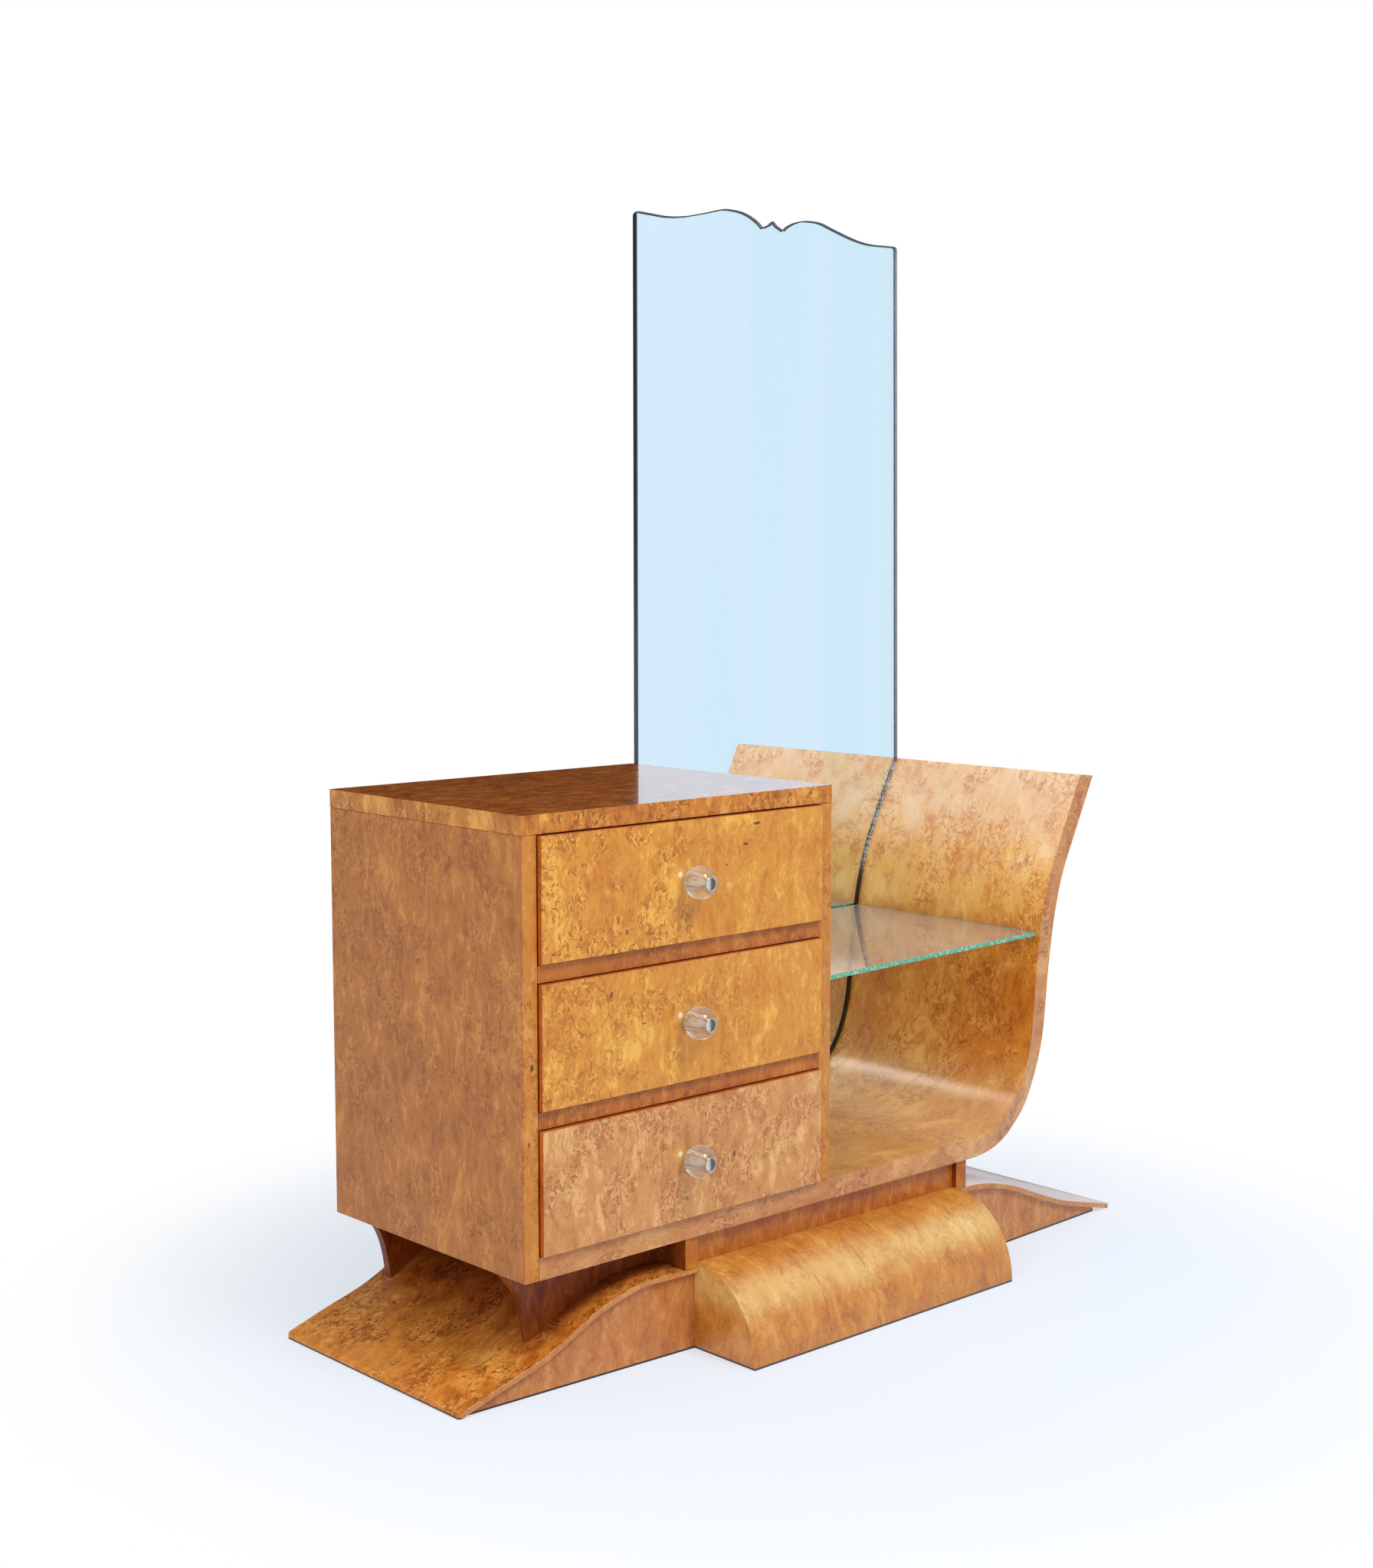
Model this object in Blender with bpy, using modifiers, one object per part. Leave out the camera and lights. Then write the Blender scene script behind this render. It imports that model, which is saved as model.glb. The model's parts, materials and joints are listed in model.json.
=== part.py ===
"""Dressing table: three drawers beside a curved open bay, a tall mirror and a winged plinth.

Metres, +Z up, +Y towards the back. The origin is under the middle of the table, at floor level.
"""
from math import asin, cos, hypot, pi, radians, sin

import bmesh
import bpy
from mathutils import Vector

# Clearances
GAP = 0.0003  # between pieces that touch
OVERRUN = 0.010  # how far a cutter runs past what it cuts

# Cabinet
CABINET_WIDTH = 0.500
CABINET_DEPTH = 0.382
CABINET_HEIGHT = 0.682  # floor to the face of the top board
UNDERSIDE = 0.144  # floor to the bottom of cabinet and bay
TOP_THICKNESS = 0.0227
TOP_REAR_RADIUS = 0.004
TOP_OVERHANG = 0.003  # of the top board at the rear
SIDE_THICKNESS = 0.0213
BACK_THICKNESS = 0.006
BOARD_EDGE = 0.0006  # eased edge of the veneered boards

# Rails and runners between the drawers
RAIL_HEIGHT = 0.0203
RAIL_DEPTH = 0.060
RUNNER_WIDTH = 0.024

# Drawers, from the top down
DRAWERS = ("upper_drawer", "middle_drawer", "lower_drawer")
FRONT_PROUD = 0.007  # drawer fronts before the cabinet's front edges
FRONT_THICKNESS = 0.020
FRONT_LEFT_GAP = 0.0008
FRONT_RIGHT_GAP = 0.0020
FRONT_TOP_GAP = 0.0012
FRONT_BOTTOM_GAP = 0.0013
DRAWER_WALL = 0.010
DRAWER_SIDE_CLEARANCE = 0.001
DRAWER_TOP_DROP = 0.016  # drawer sides under the upper edge of the front
DRAWER_REAR_CLEARANCE = 0.010
DRAWER_BOTTOM = 0.004
DRAWER_BOTTOM_LIFT = 0.008  # bottom above the lower edge of the sides
GROOVE_DEPTH = 0.005

# Knobs
KNOB_DIAMETER = 0.040
KNOB_FOOT_DIAMETER = 0.020  # flat where the ball meets the drawer front
KNOB_NOSE_DIAMETER = 0.022  # flat under the button
KNOB_STEPS = 14
CORE_DIAMETER = 0.0125
BUTTON_DIAMETER = 0.0165
BUTTON_RIM = 0.0008
BUTTON_CROWN = 0.0008
KNOB_SCREW_DIAMETER = 0.004
KNOB_SCREW_LENGTH = 0.030
KNOB_SCREW_HEAD_DIAMETER = 0.009
KNOB_SCREW_HEAD = 0.0025
SCREW_CLEARANCE = 0.0005

# Bay board, a sheet that turns up into the right wall
BAY_THICKNESS = 0.027
BAY_FLAT = 0.290  # cabinet's right face to the start of the curve
BAY_REACH = 0.540  # cabinet's right face to the wall's upper inner edge
WALL_DROP = 0.0258  # inner edge of the wall's top under the cabinet's top
WALL_OUTER_DROP = 0.003  # outer edge of the wall's top under its inner edge
WALL_EASE = 0.0215  # front edge of the wall behind the cabinet's front
WALL_SHARES = (
    (0, 0),
    (0.140, 0.006),
    (0.285, 0.032),
    (0.432, 0.084),
    (0.530, 0.162),
    (0.579, 0.240),
    (0.602, 0.324),
    (0.619, 0.414),
    (0.651, 0.533),
    (0.687, 0.626),
    (0.752, 0.737),
    (0.878, 0.872),
    (1, 1),
)
EASE_SHARES = ((0, 0), (0.27, 0.34), (0.41, 0.60), (0.525, 0.80), (0.605, 0.95), (0.68, 1), (1, 1))

# Mirror
MIRROR_FRONT = 0.3733  # behind the cabinet's front
GLASS_THICKNESS = 0.006
MIRROR_HEIGHT = 1.435  # floor to the mirror's corners
MIRROR_TOP_RIGHT = 0.527  # right edge at the top, from the cabinet's right face
MIRROR_CLEARANCE = 0.001  # to the bay board
MIRROR_CORNER = 0.006
BACKING_INSET = 0.0015
CREST_RISE = 0.020  # humps above the corners
PEAK_SHARES = ((0.030, 0.30), (0, 0.60), (-0.030, 0.30))
HUMP_SHARES = (
    (0.078, 0.05),
    (0.110, 0.36),
    (0.165, 0.70),
    (0.230, 0.93),
    (0.300, 1),
    (0.375, 0.96),
    (0.475, 0.635),
    (0.610, 0.22),
    (0.700, 0.02),
    (0.790, -0.07),
    (0.900, -0.03),
    (0.975, 0),
)

# Plates that hold the mirror at the back
PLATE_LENGTH = 0.044
PLATE_WIDTH = 0.016
PLATE_THICKNESS = 0.0016
PLATE_END = 0.007  # screw from the end of its plate
PLATE_DROP = 0.0562  # middle of the plates under the wall's top
PLATE_SCREW_DIAMETER = 0.0035
PLATE_SCREW_LENGTH = 0.014
PLATE_SCREW_HEAD_DIAMETER = 0.0070
PLATE_SCREW_HEAD = 0.0018

# Glass shelf and its pegs
SHELF_TOP = 0.4365  # above the floor
SHELF_THICKNESS = 0.006
SHELF_LEFT_FRONT = 0.001  # left end of the front edge behind the cabinet's front
SHELF_RIGHT_FRONT = 0.029  # right end of the front edge behind the cabinet's front
SHELF_REAR_GAP = 0.003
SHELF_END_GAP = 0.0005
SHELF_EDGE = 0.0006
PEG_DIAMETER = 0.005
PEG_HOLD = 0.008  # length inside the board
PEG_REACH = 0.009  # length under the shelf
PEG_INSET = 0.030  # from the shelf's front and rear edges

# Plinth
NECK_INSET = 0.2514  # from the cabinet's left face
NECK_WIDTH = 0.5241
NECK_FRONT = 0.0034  # behind the cabinet's front
NECK_REAR = 0.0040  # before the cabinet's rear
NECK_THICKNESS = 0.0205
NECK_RECESS = 0.0078  # boards between the end panels, behind their edges
NECK_BOARD = 0.015
BULLNOSE_REACH = 0.0970
BULLNOSE_TOP = 0.1070
BULLNOSE_EDGE = 0.0008
BULLNOSE_STEPS = 28

# Wings, swept sheets on panels that follow them
LEFT_REACH = 0.0797  # left tip beyond the cabinet's left face
RIGHT_REACH = 0.6271  # right tip beyond the cabinet's right face
DECK_HEIGHT = 0.1040
SHEET_THICKNESS = 0.0070
SHEET_EDGE = 0.0006
WING_PANEL = 0.014
WING_RECESS = 0.007  # panels behind the edges of the sheets
TIP_FRONT = 0.0197  # front edge at the tips, behind the cabinet's front
TIP_RADIUS = 0.006
PANEL_END = 0.0035  # least height of a wing panel
LEFT_WING_SHARES = (
    (0, 1),
    (0.100, 1),
    (0.198, 0.992),
    (0.306, 0.910),
    (0.412, 0.795),
    (0.517, 0.620),
    (0.654, 0.415),
    (0.821, 0.252),
    (1, 0.066),
)
RIGHT_WING_SHARES = (
    (0, 1),
    (0.077, 0.985),
    (0.198, 0.912),
    (0.321, 0.792),
    (0.470, 0.590),
    (0.643, 0.368),
    (0.799, 0.222),
    (1, 0.056),
)

# Fins between the cabinet's underside and the left wing
FIN_THICKNESS = 0.012
FRONT_FIN_PLACE = 0.0572  # its front face behind the cabinet's front
FRONT_FIN_TOP = 0.003  # insets from the cabinet's left face
FRONT_FIN_FOOT = 0.0495
REAR_FIN_PLACE = 0.022  # its rear face before the cabinet's rear
REAR_FIN_TOP = 0.020
REAR_FIN_FOOT = 0.0575
FIN_SHARES = ((0.35, 0.15), (0.65, 0.36), (0.86, 0.64))

# Places that follow from the sizes
OVERALL_WIDTH = LEFT_REACH + CABINET_WIDTH + RIGHT_REACH
PLATE_PROUD = 2 * GAP + PLATE_THICKNESS + PLATE_SCREW_HEAD
OVERALL_DEPTH = BULLNOSE_REACH + CABINET_DEPTH + PLATE_PROUD
LEFT_TIP = -OVERALL_WIDTH / 2
RIGHT_TIP = OVERALL_WIDTH / 2
LEFT = LEFT_TIP + LEFT_REACH
RIGHT = LEFT + CABINET_WIDTH
FRONT = BULLNOSE_REACH - OVERALL_DEPTH / 2
REAR = FRONT + CABINET_DEPTH
BAY_FLOOR = UNDERSIDE + BAY_THICKNESS
TOP_UNDERSIDE = CABINET_HEIGHT - TOP_THICKNESS
WALL_TOP = CABINET_HEIGHT - WALL_DROP
PLATE_LEVEL = WALL_TOP - PLATE_DROP
INNER_LEFT = LEFT + SIDE_THICKNESS
INNER_RIGHT = RIGHT - SIDE_THICKNESS
BACK_FRONT = REAR - BACK_THICKNESS
NECK_LEFT = LEFT + NECK_INSET
NECK_RIGHT = NECK_LEFT + NECK_WIDTH
CORE_LEFT = NECK_LEFT + NECK_THICKNESS
CORE_RIGHT = NECK_RIGHT - NECK_THICKNESS
PLINTH_FRONT = FRONT + NECK_FRONT
PLINTH_REAR = REAR - NECK_REAR
CORE_FRONT = PLINTH_FRONT + NECK_RECESS
CORE_REAR = PLINTH_REAR - NECK_RECESS
SHELF_UNDERSIDE = SHELF_TOP - SHELF_THICKNESS

# Collections
PARTS = "dressing_table"
CUTTERS = "cutters"

# Base colour, roughness, metallic and transmission of each finish
FINISHES = {
    "burr": ((0.62, 0.30, 0.075), 0.30, 0, 0),
    "side_veneer": ((0.49, 0.22, 0.075), 0.34, 0, 0),
    "edge_veneer": ((0.53, 0.25, 0.09), 0.38, 0, 0),
    "top_veneer": ((0.36, 0.13, 0.03), 0.18, 0, 0),
    "fin_veneer": ((0.22, 0.065, 0.018), 0.36, 0, 0),
    "drawer_wood": ((0.58, 0.40, 0.20), 0.60, 0, 0),
    "plywood": ((0.45, 0.30, 0.16), 0.65, 0, 0),
    "silvered_glass": ((0.86, 0.92, 0.95), 0.02, 1, 0),
    "backing": ((0.012, 0.012, 0.014), 0.60, 0, 0),
    "shelf_glass": ((0.78, 0.95, 0.88), 0.02, 0, 0.9),
    "knob_glass": ((0.95, 0.95, 0.95), 0.03, 0, 0.9),
    "polished_metal": ((0.72, 0.67, 0.56), 0.14, 1, 0),
    "steel": ((0.56, 0.56, 0.57), 0.35, 1, 0),
}

# Axes of drawn outlines and of turned pieces
ALONG_Y = (pi / 2, 0, 0)
ALONG_X = (pi / 2, 0, pi / 2)
UPRIGHT = (0, 0, 0)


def clear_scene():
    for item in list(bpy.data.objects):
        bpy.data.objects.remove(item, do_unlink=True)


def add_collection(name):
    made = bpy.data.collections.new(name)
    bpy.context.scene.collection.children.link(made)


def move_to(item, name):
    for holder in list(item.users_collection):
        holder.objects.unlink(item)
    bpy.data.collections[name].objects.link(item)


def dress(item, finish):
    """Give a part its own Principled material."""
    colour, roughness, metallic, transmission = FINISHES[finish]
    made = bpy.data.materials.new(item.name + "_" + finish)
    made.use_nodes = True
    made.diffuse_color = (*colour, 1)
    shader = made.node_tree.nodes["Principled BSDF"]
    shader.inputs["Base Color"].default_value = (*colour, 1)
    shader.inputs["Roughness"].default_value = roughness
    shader.inputs["Metallic"].default_value = metallic
    shader.inputs["Transmission Weight"].default_value = transmission
    item.data.materials.clear()
    item.data.materials.append(made)


def add_bevel(item, width):
    bevel = item.modifiers.new("eased_edges", "BEVEL")
    bevel.width = width
    bevel.segments = 1
    bevel.limit_method = "ANGLE"
    bevel.angle_limit = radians(50)


def box(name, low, high, finish, edge=0.0, parent=None):
    """A board between two corners."""
    low = Vector(low)
    high = Vector(high)
    bpy.ops.mesh.primitive_cube_add(size=1, location=(low + high) / 2)
    item = bpy.context.object
    item.name = name
    item.data.name = name
    item.scale = high - low
    bpy.ops.object.transform_apply(location=False, rotation=False, scale=True)
    move_to(item, PARTS)
    dress(item, finish)
    if edge:
        add_bevel(item, edge)
    if parent:
        hang(item, parent)
    return item


def hang(item, parent):
    """Parent a piece where it stands."""
    bpy.context.view_layer.update()
    item.parent = parent
    item.matrix_parent_inverse = parent.matrix_world.inverted()


def smooth(points, steps=6):
    """Points along a curve that passes through the given points."""
    ends = [points[0], *points, points[-1]]
    line = []
    for a, b, c, d in zip(ends, ends[1:], ends[2:], ends[3:]):
        for step in range(steps):
            t = step / steps
            line.append(tuple(blend(t, *values) for values in zip(a, b, c, d)))
    return line + [tuple(points[-1])]


def blend(t, a, b, c, d):
    """A value between b and c on a curve with a before and d after."""
    curve = 2 * b + (c - a) * t
    curve += (2 * a - 5 * b + 4 * c - d) * t**2
    curve += (3 * b - a - 3 * c + d) * t**3
    return curve / 2


def offset(line, distance, closed=False):
    """A line moved to the left of its own direction."""
    moved = []
    last = len(line) - 1
    for index, (x, z) in enumerate(line):
        before = line[index - 1] if closed or index else line[0]
        after = line[(index + 1) % len(line)] if closed or index < last else line[last]
        dx = after[0] - before[0]
        dz = after[1] - before[1]
        length = hypot(dx, dz)
        moved.append((x - dz * distance / length, z + dx * distance / length))
    return moved


def reach_at(line, height):
    """Where a rising line stands at a height."""
    for (x, z), (next_x, next_z) in zip(line, line[1:]):
        if z <= height <= next_z and z < next_z:
            return x + (next_x - x) * (height - z) / (next_z - z)
    return line[-1][0]


def arc(centre, radius, start, end, steps=6):
    """Points round a corner; the angles are in degrees."""
    angles = [radians(start + (end - start) * step / steps) for step in range(steps + 1)]
    return [(centre[0] + radius * cos(angle), centre[1] + radius * sin(angle)) for angle in angles]


def shade_round(item, limit=radians(35)):
    """Smooth shading, with the edges sharper than the limit kept sharp."""
    shaded = bmesh.new()
    shaded.from_mesh(item.data)
    for face in shaded.faces:
        face.smooth = True
    for edge in shaded.edges:
        edge.smooth = edge.calc_face_angle(0) < limit
    shaded.to_mesh(item.data)
    shaded.free()


def drawn(name, outline, depth, location, rotation, where=PARTS):
    """A flat outline as a 2D curve with its depth, made a welded mesh."""
    curve = bpy.data.curves.new(name, "CURVE")
    curve.dimensions = "2D"
    curve.fill_mode = "BOTH"
    curve.extrude = depth / 2
    spline = curve.splines.new("POLY")
    spline.points.add(len(outline) - 1)
    for point, (u, v) in zip(spline.points, outline):
        point.co = (u, v, 0, 1)
    spline.use_cyclic_u = True
    shape = bpy.data.objects.new(name + "_outline", curve)
    shape.location = location
    shape.rotation_euler = rotation
    bpy.data.collections[where].objects.link(shape)
    bpy.context.view_layer.update()
    graph = bpy.context.evaluated_depsgraph_get()
    mesh = bpy.data.meshes.new_from_object(shape.evaluated_get(graph))
    mesh.name = name
    welded = bmesh.new()
    welded.from_mesh(mesh)
    bmesh.ops.remove_doubles(welded, verts=welded.verts, dist=GAP / 10)
    bmesh.ops.recalc_face_normals(welded, faces=welded.faces)
    welded.to_mesh(mesh)
    welded.free()
    item = bpy.data.objects.new(name, mesh)
    item.matrix_world = shape.matrix_world.copy()
    bpy.data.objects.remove(shape, do_unlink=True)
    bpy.data.collections[where].objects.link(item)
    shade_round(item)
    return item


def side_prism(name, outline, front, rear, finish, edge=0.0):
    """An outline seen from the front, between two depths."""
    item = drawn(name, outline, rear - front, (0, (front + rear) / 2, 0), ALONG_Y)
    dress(item, finish)
    if edge:
        add_bevel(item, edge)
    return item


def as_cutter(item):
    move_to(item, CUTTERS)
    item.hide_render = True
    item.display_type = "WIRE"
    return item


def cut(item, cutter, operation="DIFFERENCE"):
    boolean = item.modifiers.new(cutter.name, "BOOLEAN")
    boolean.operation = operation
    boolean.solver = "EXACT"
    boolean.object = cutter


def drill(name, diameter, start, end, rotation, parent=None):
    """A round cutter between two points of a line along the given axis."""
    start = Vector(start)
    end = Vector(end)
    bpy.ops.mesh.primitive_cylinder_add(
        vertices=24,
        radius=diameter / 2,
        depth=(end - start).length,
        location=(start + end) / 2,
        rotation=rotation,
    )
    item = bpy.context.object
    item.name = name
    if parent:
        hang(item, parent)
    return as_cutter(item)


def groove(name, low, high, parent):
    """A box-shaped cutter."""
    item = box(name, low, high, "drawer_wood", 0, parent)
    return as_cutter(item)


def turned(name, profile, location, finish, parent, steps=36):
    """A profile of (radius, distance forward) turned about an axis that points forward."""
    mesh = bpy.data.meshes.new(name)
    points = [(radius, 0, along) for radius, along in reversed(profile)]
    mesh.from_pydata(points, [(n, n + 1) for n in range(len(points) - 1)], [])
    item = bpy.data.objects.new(name, mesh)
    item.location = location
    item.rotation_euler = ALONG_Y
    bpy.data.collections[PARTS].objects.link(item)
    screw = item.modifiers.new("turned", "SCREW")
    screw.steps = steps
    screw.render_steps = steps
    screw.use_merge_vertices = True
    screw.merge_threshold = GAP / 10
    screw.use_smooth_shade = True
    dress(item, finish)
    if parent:
        hang(item, parent)


def rod(name, diameter, start, end, rotation, finish):
    """A plain round piece between two points."""
    start = Vector(start)
    end = Vector(end)
    bpy.ops.mesh.primitive_cylinder_add(
        vertices=20,
        radius=diameter / 2,
        depth=(end - start).length,
        location=(start + end) / 2,
        rotation=rotation,
    )
    item = bpy.context.object
    item.name = name
    item.data.name = name
    shade_round(item)
    move_to(item, PARTS)
    dress(item, finish)


# Cabinet


def top_board():
    """The board over the cabinet, its rear corners rounded in plan."""
    radius = TOP_REAR_RADIUS
    centre_y = REAR + TOP_OVERHANG - radius
    plan = [(LEFT, FRONT), (RIGHT, FRONT)]
    plan += arc((RIGHT - radius, centre_y), radius, 0, 90)
    plan += arc((LEFT + radius, centre_y), radius, 90, 180)
    height = TOP_THICKNESS - GAP
    item = drawn("top_board", plan, height, (0, 0, CABINET_HEIGHT - height / 2), UPRIGHT)
    dress(item, "top_veneer")
    add_bevel(item, BOARD_EDGE)


def side_panels():
    """The left side runs to the underside; the right side stands on the bay board."""
    box(
        "left_side_panel",
        (LEFT, FRONT, UNDERSIDE),
        (INNER_LEFT, REAR, TOP_UNDERSIDE),
        "side_veneer",
        BOARD_EDGE,
    )
    right = box(
        "right_side_panel",
        (INNER_RIGHT, FRONT, BAY_FLOOR + GAP),
        (RIGHT, REAR, TOP_UNDERSIDE),
        "side_veneer",
        BOARD_EDGE,
    )
    return right


def cabinet_back():
    low = (INNER_LEFT + GAP, BACK_FRONT, BAY_FLOOR + GAP)
    box("cabinet_back", low, (INNER_RIGHT - GAP, REAR, TOP_UNDERSIDE), "plywood")


def front_height():
    """Height of one drawer front, from what the gaps and rails leave."""
    count = len(DRAWERS)
    gaps = count * (FRONT_TOP_GAP + FRONT_BOTTOM_GAP)
    rails = (count - 1) * RAIL_HEIGHT
    return (TOP_UNDERSIDE - BAY_FLOOR - gaps - rails) / count


def rail_undersides():
    pitch = front_height() + FRONT_TOP_GAP + FRONT_BOTTOM_GAP + RAIL_HEIGHT
    return [TOP_UNDERSIDE - pitch * (index + 1) for index in range(len(DRAWERS) - 1)]


def slide_heights():
    """What each drawer slides on, from the top down."""
    return [underside + RAIL_HEIGHT for underside in rail_undersides()] + [BAY_FLOOR]


def rails_and_runners():
    """A rail under each of the two upper drawers, and a runner at each side behind it."""
    rail_rear = FRONT + RAIL_DEPTH
    for level, bottom in zip(("upper", "lower"), rail_undersides()):
        top = bottom + RAIL_HEIGHT
        box(
            level + "_rail",
            (INNER_LEFT + GAP, FRONT, bottom),
            (INNER_RIGHT - GAP, rail_rear, top),
            "edge_veneer",
        )
        box(
            level + "_left_runner",
            (INNER_LEFT + GAP, rail_rear + GAP, bottom),
            (INNER_LEFT + RUNNER_WIDTH, BACK_FRONT - GAP, top),
            "drawer_wood",
        )
        box(
            level + "_right_runner",
            (INNER_RIGHT - RUNNER_WIDTH, rail_rear + GAP, bottom),
            (INNER_RIGHT - GAP, BACK_FRONT - GAP, top),
            "drawer_wood",
        )


# Drawers


def drawer(name, slide):
    """Front, sides, back and bottom on one parent; slide is the height of its runners."""
    body = bpy.data.objects.new(name, None)
    body.location = ((LEFT + RIGHT) / 2, FRONT - FRONT_PROUD, slide)
    bpy.data.collections[PARTS].objects.link(body)
    face = FRONT - FRONT_PROUD
    inside = face + FRONT_THICKNESS
    low = slide + FRONT_BOTTOM_GAP
    top = low + front_height()
    rim = top - DRAWER_TOP_DROP
    rear = BACK_FRONT - DRAWER_REAR_CLEARANCE
    foot = slide + GAP
    left = INNER_LEFT + DRAWER_SIDE_CLEARANCE
    right = INNER_RIGHT - DRAWER_SIDE_CLEARANCE
    front = box(
        name + "_front",
        (INNER_LEFT + FRONT_LEFT_GAP, face, low),
        (INNER_RIGHT - FRONT_RIGHT_GAP, inside, top),
        "burr",
        BOARD_EDGE,
        body,
    )
    left_side = box(
        name + "_left_side",
        (left, inside + GAP, foot),
        (left + DRAWER_WALL, rear, rim),
        "drawer_wood",
        0,
        body,
    )
    right_side = box(
        name + "_right_side",
        (right - DRAWER_WALL, inside + GAP, foot),
        (right, rear, rim),
        "drawer_wood",
        0,
        body,
    )
    floor = foot + DRAWER_BOTTOM_LIFT
    inner_left = left + DRAWER_WALL
    inner_right = right - DRAWER_WALL
    box(
        name + "_back",
        (inner_left + GAP, rear - DRAWER_WALL, floor + DRAWER_BOTTOM + GAP),
        (inner_right - GAP, rear, rim),
        "drawer_wood",
        0,
        body,
    )
    tongue = GROOVE_DEPTH - GAP
    box(
        name + "_bottom",
        (inner_left - tongue, inside - tongue, floor),
        (inner_right + tongue, rear, floor + DRAWER_BOTTOM),
        "plywood",
        0,
        body,
    )
    slot = groove(
        name + "_groove",
        (inner_left - GROOVE_DEPTH, inside - GROOVE_DEPTH, floor - GAP),
        (inner_right + GROOVE_DEPTH, rear + OVERRUN, floor + DRAWER_BOTTOM + GAP),
        body,
    )
    for grooved in (front, left_side, right_side):
        cut(grooved, slot)
    middle = Vector(((LEFT + RIGHT) / 2, face, (low + top) / 2))
    hole = drill(
        name + "_knob_hole",
        KNOB_SCREW_DIAMETER + 2 * SCREW_CLEARANCE,
        middle - Vector((0, OVERRUN, 0)),
        middle + Vector((0, FRONT_THICKNESS + OVERRUN, 0)),
        ALONG_Y,
        body,
    )
    cut(front, hole)
    knob(name, middle, body)


def knob(name, foot, body):
    """A clear ball round a polished core, held from inside the drawer by a screw."""
    radius = KNOB_DIAMETER / 2
    start = -pi / 2 + asin(KNOB_FOOT_DIAMETER / KNOB_DIAMETER)
    end = pi / 2 - asin(KNOB_NOSE_DIAMETER / KNOB_DIAMETER)
    centre = -radius * sin(start)
    nose = centre + radius * sin(end)
    angles = [start + (end - start) * step / KNOB_STEPS for step in range(KNOB_STEPS + 1)]
    ball = [(radius * cos(angle), centre + radius * sin(angle)) for angle in angles]
    bore = CORE_DIAMETER / 2 + GAP
    seat = foot - Vector((0, GAP, 0))
    turned(name + "_knob_glass", [(bore, 0), *ball, (bore, nose), (bore, 0)], seat, "knob_glass", body)

    core = CORE_DIAMETER / 2
    button = BUTTON_DIAMETER / 2
    hole = KNOB_SCREW_DIAMETER / 2 + GAP
    depth = KNOB_SCREW_LENGTH - FRONT_THICKNESS + SCREW_CLEARANCE
    ledge = nose + GAP
    profile = [
        (0, depth),
        (hole, depth),
        (hole, 0),
        (core, 0),
        (core, ledge),
        (button, ledge),
        (button, ledge + BUTTON_RIM),
        (button / 2, ledge + BUTTON_RIM + BUTTON_CROWN * 3 / 4),
        (0, ledge + BUTTON_RIM + BUTTON_CROWN),
    ]
    turned(name + "_knob_core", profile, seat, "polished_metal", body)

    shank = KNOB_SCREW_DIAMETER / 2
    head = KNOB_SCREW_HEAD_DIAMETER / 2
    profile = [
        (0, -KNOB_SCREW_HEAD),
        (head * 3 / 4, -KNOB_SCREW_HEAD),
        (head, -KNOB_SCREW_HEAD / 2),
        (head, 0),
        (shank, 0),
        (shank, KNOB_SCREW_LENGTH - shank),
        (0, KNOB_SCREW_LENGTH),
    ]
    turned(name + "_knob_screw", profile, foot + Vector((0, FRONT_THICKNESS + GAP, 0)), "steel", body, 20)


# Bay


def wall_line():
    """The bay board's inner face from the start of its curve to the top of the wall."""
    curve = smooth(WALL_SHARES)
    reach = BAY_REACH - BAY_FLAT
    height = WALL_TOP - BAY_FLOOR
    return [(RIGHT + BAY_FLAT + x * reach, BAY_FLOOR + z * height) for x, z in curve]


def bay_board():
    """The floor under the drawers and the bay, turned up into the right wall."""
    inner = wall_line()
    top_x, top_z = inner[-1]
    last_x, last_z = inner[-2]
    run = BAY_THICKNESS / hypot(top_x - last_x, top_z - last_z)
    beyond = (top_x + (top_x - last_x) * run, top_z + (top_z - last_z) * run)
    outer = offset([*inner, beyond], -BAY_THICKNESS)
    outer_top = top_z - WALL_OUTER_DROP
    outer_end = (reach_at(outer, outer_top), outer_top)
    outer = [point for point in outer if point[1] < outer_top]
    start = INNER_LEFT + GAP
    outline = [(start, BAY_FLOOR), *inner, outer_end, *reversed(outer), (start, UNDERSIDE)]
    board = side_prism("bay_board", outline, FRONT, REAR, "burr")
    cut(board, ease_cutter())
    return board


def ease_cutter():
    """What draws the front edge back towards the wall, seen from above."""
    start = RIGHT + BAY_FLAT
    reach = BAY_REACH - BAY_FLAT
    end = RIGHT + BAY_REACH + BAY_THICKNESS + OVERRUN
    eased = [(start + x * reach, FRONT + y * WALL_EASE) for x, y in smooth(EASE_SHARES, 4)]
    outline = [(start, FRONT - OVERRUN), (end, FRONT - OVERRUN), (end, FRONT + WALL_EASE), *reversed(eased)]
    low = UNDERSIDE - OVERRUN
    high = WALL_TOP + OVERRUN
    return as_cutter(drawn("wall_ease", outline, high - low, (0, 0, (low + high) / 2), UPRIGHT, CUTTERS))


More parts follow.
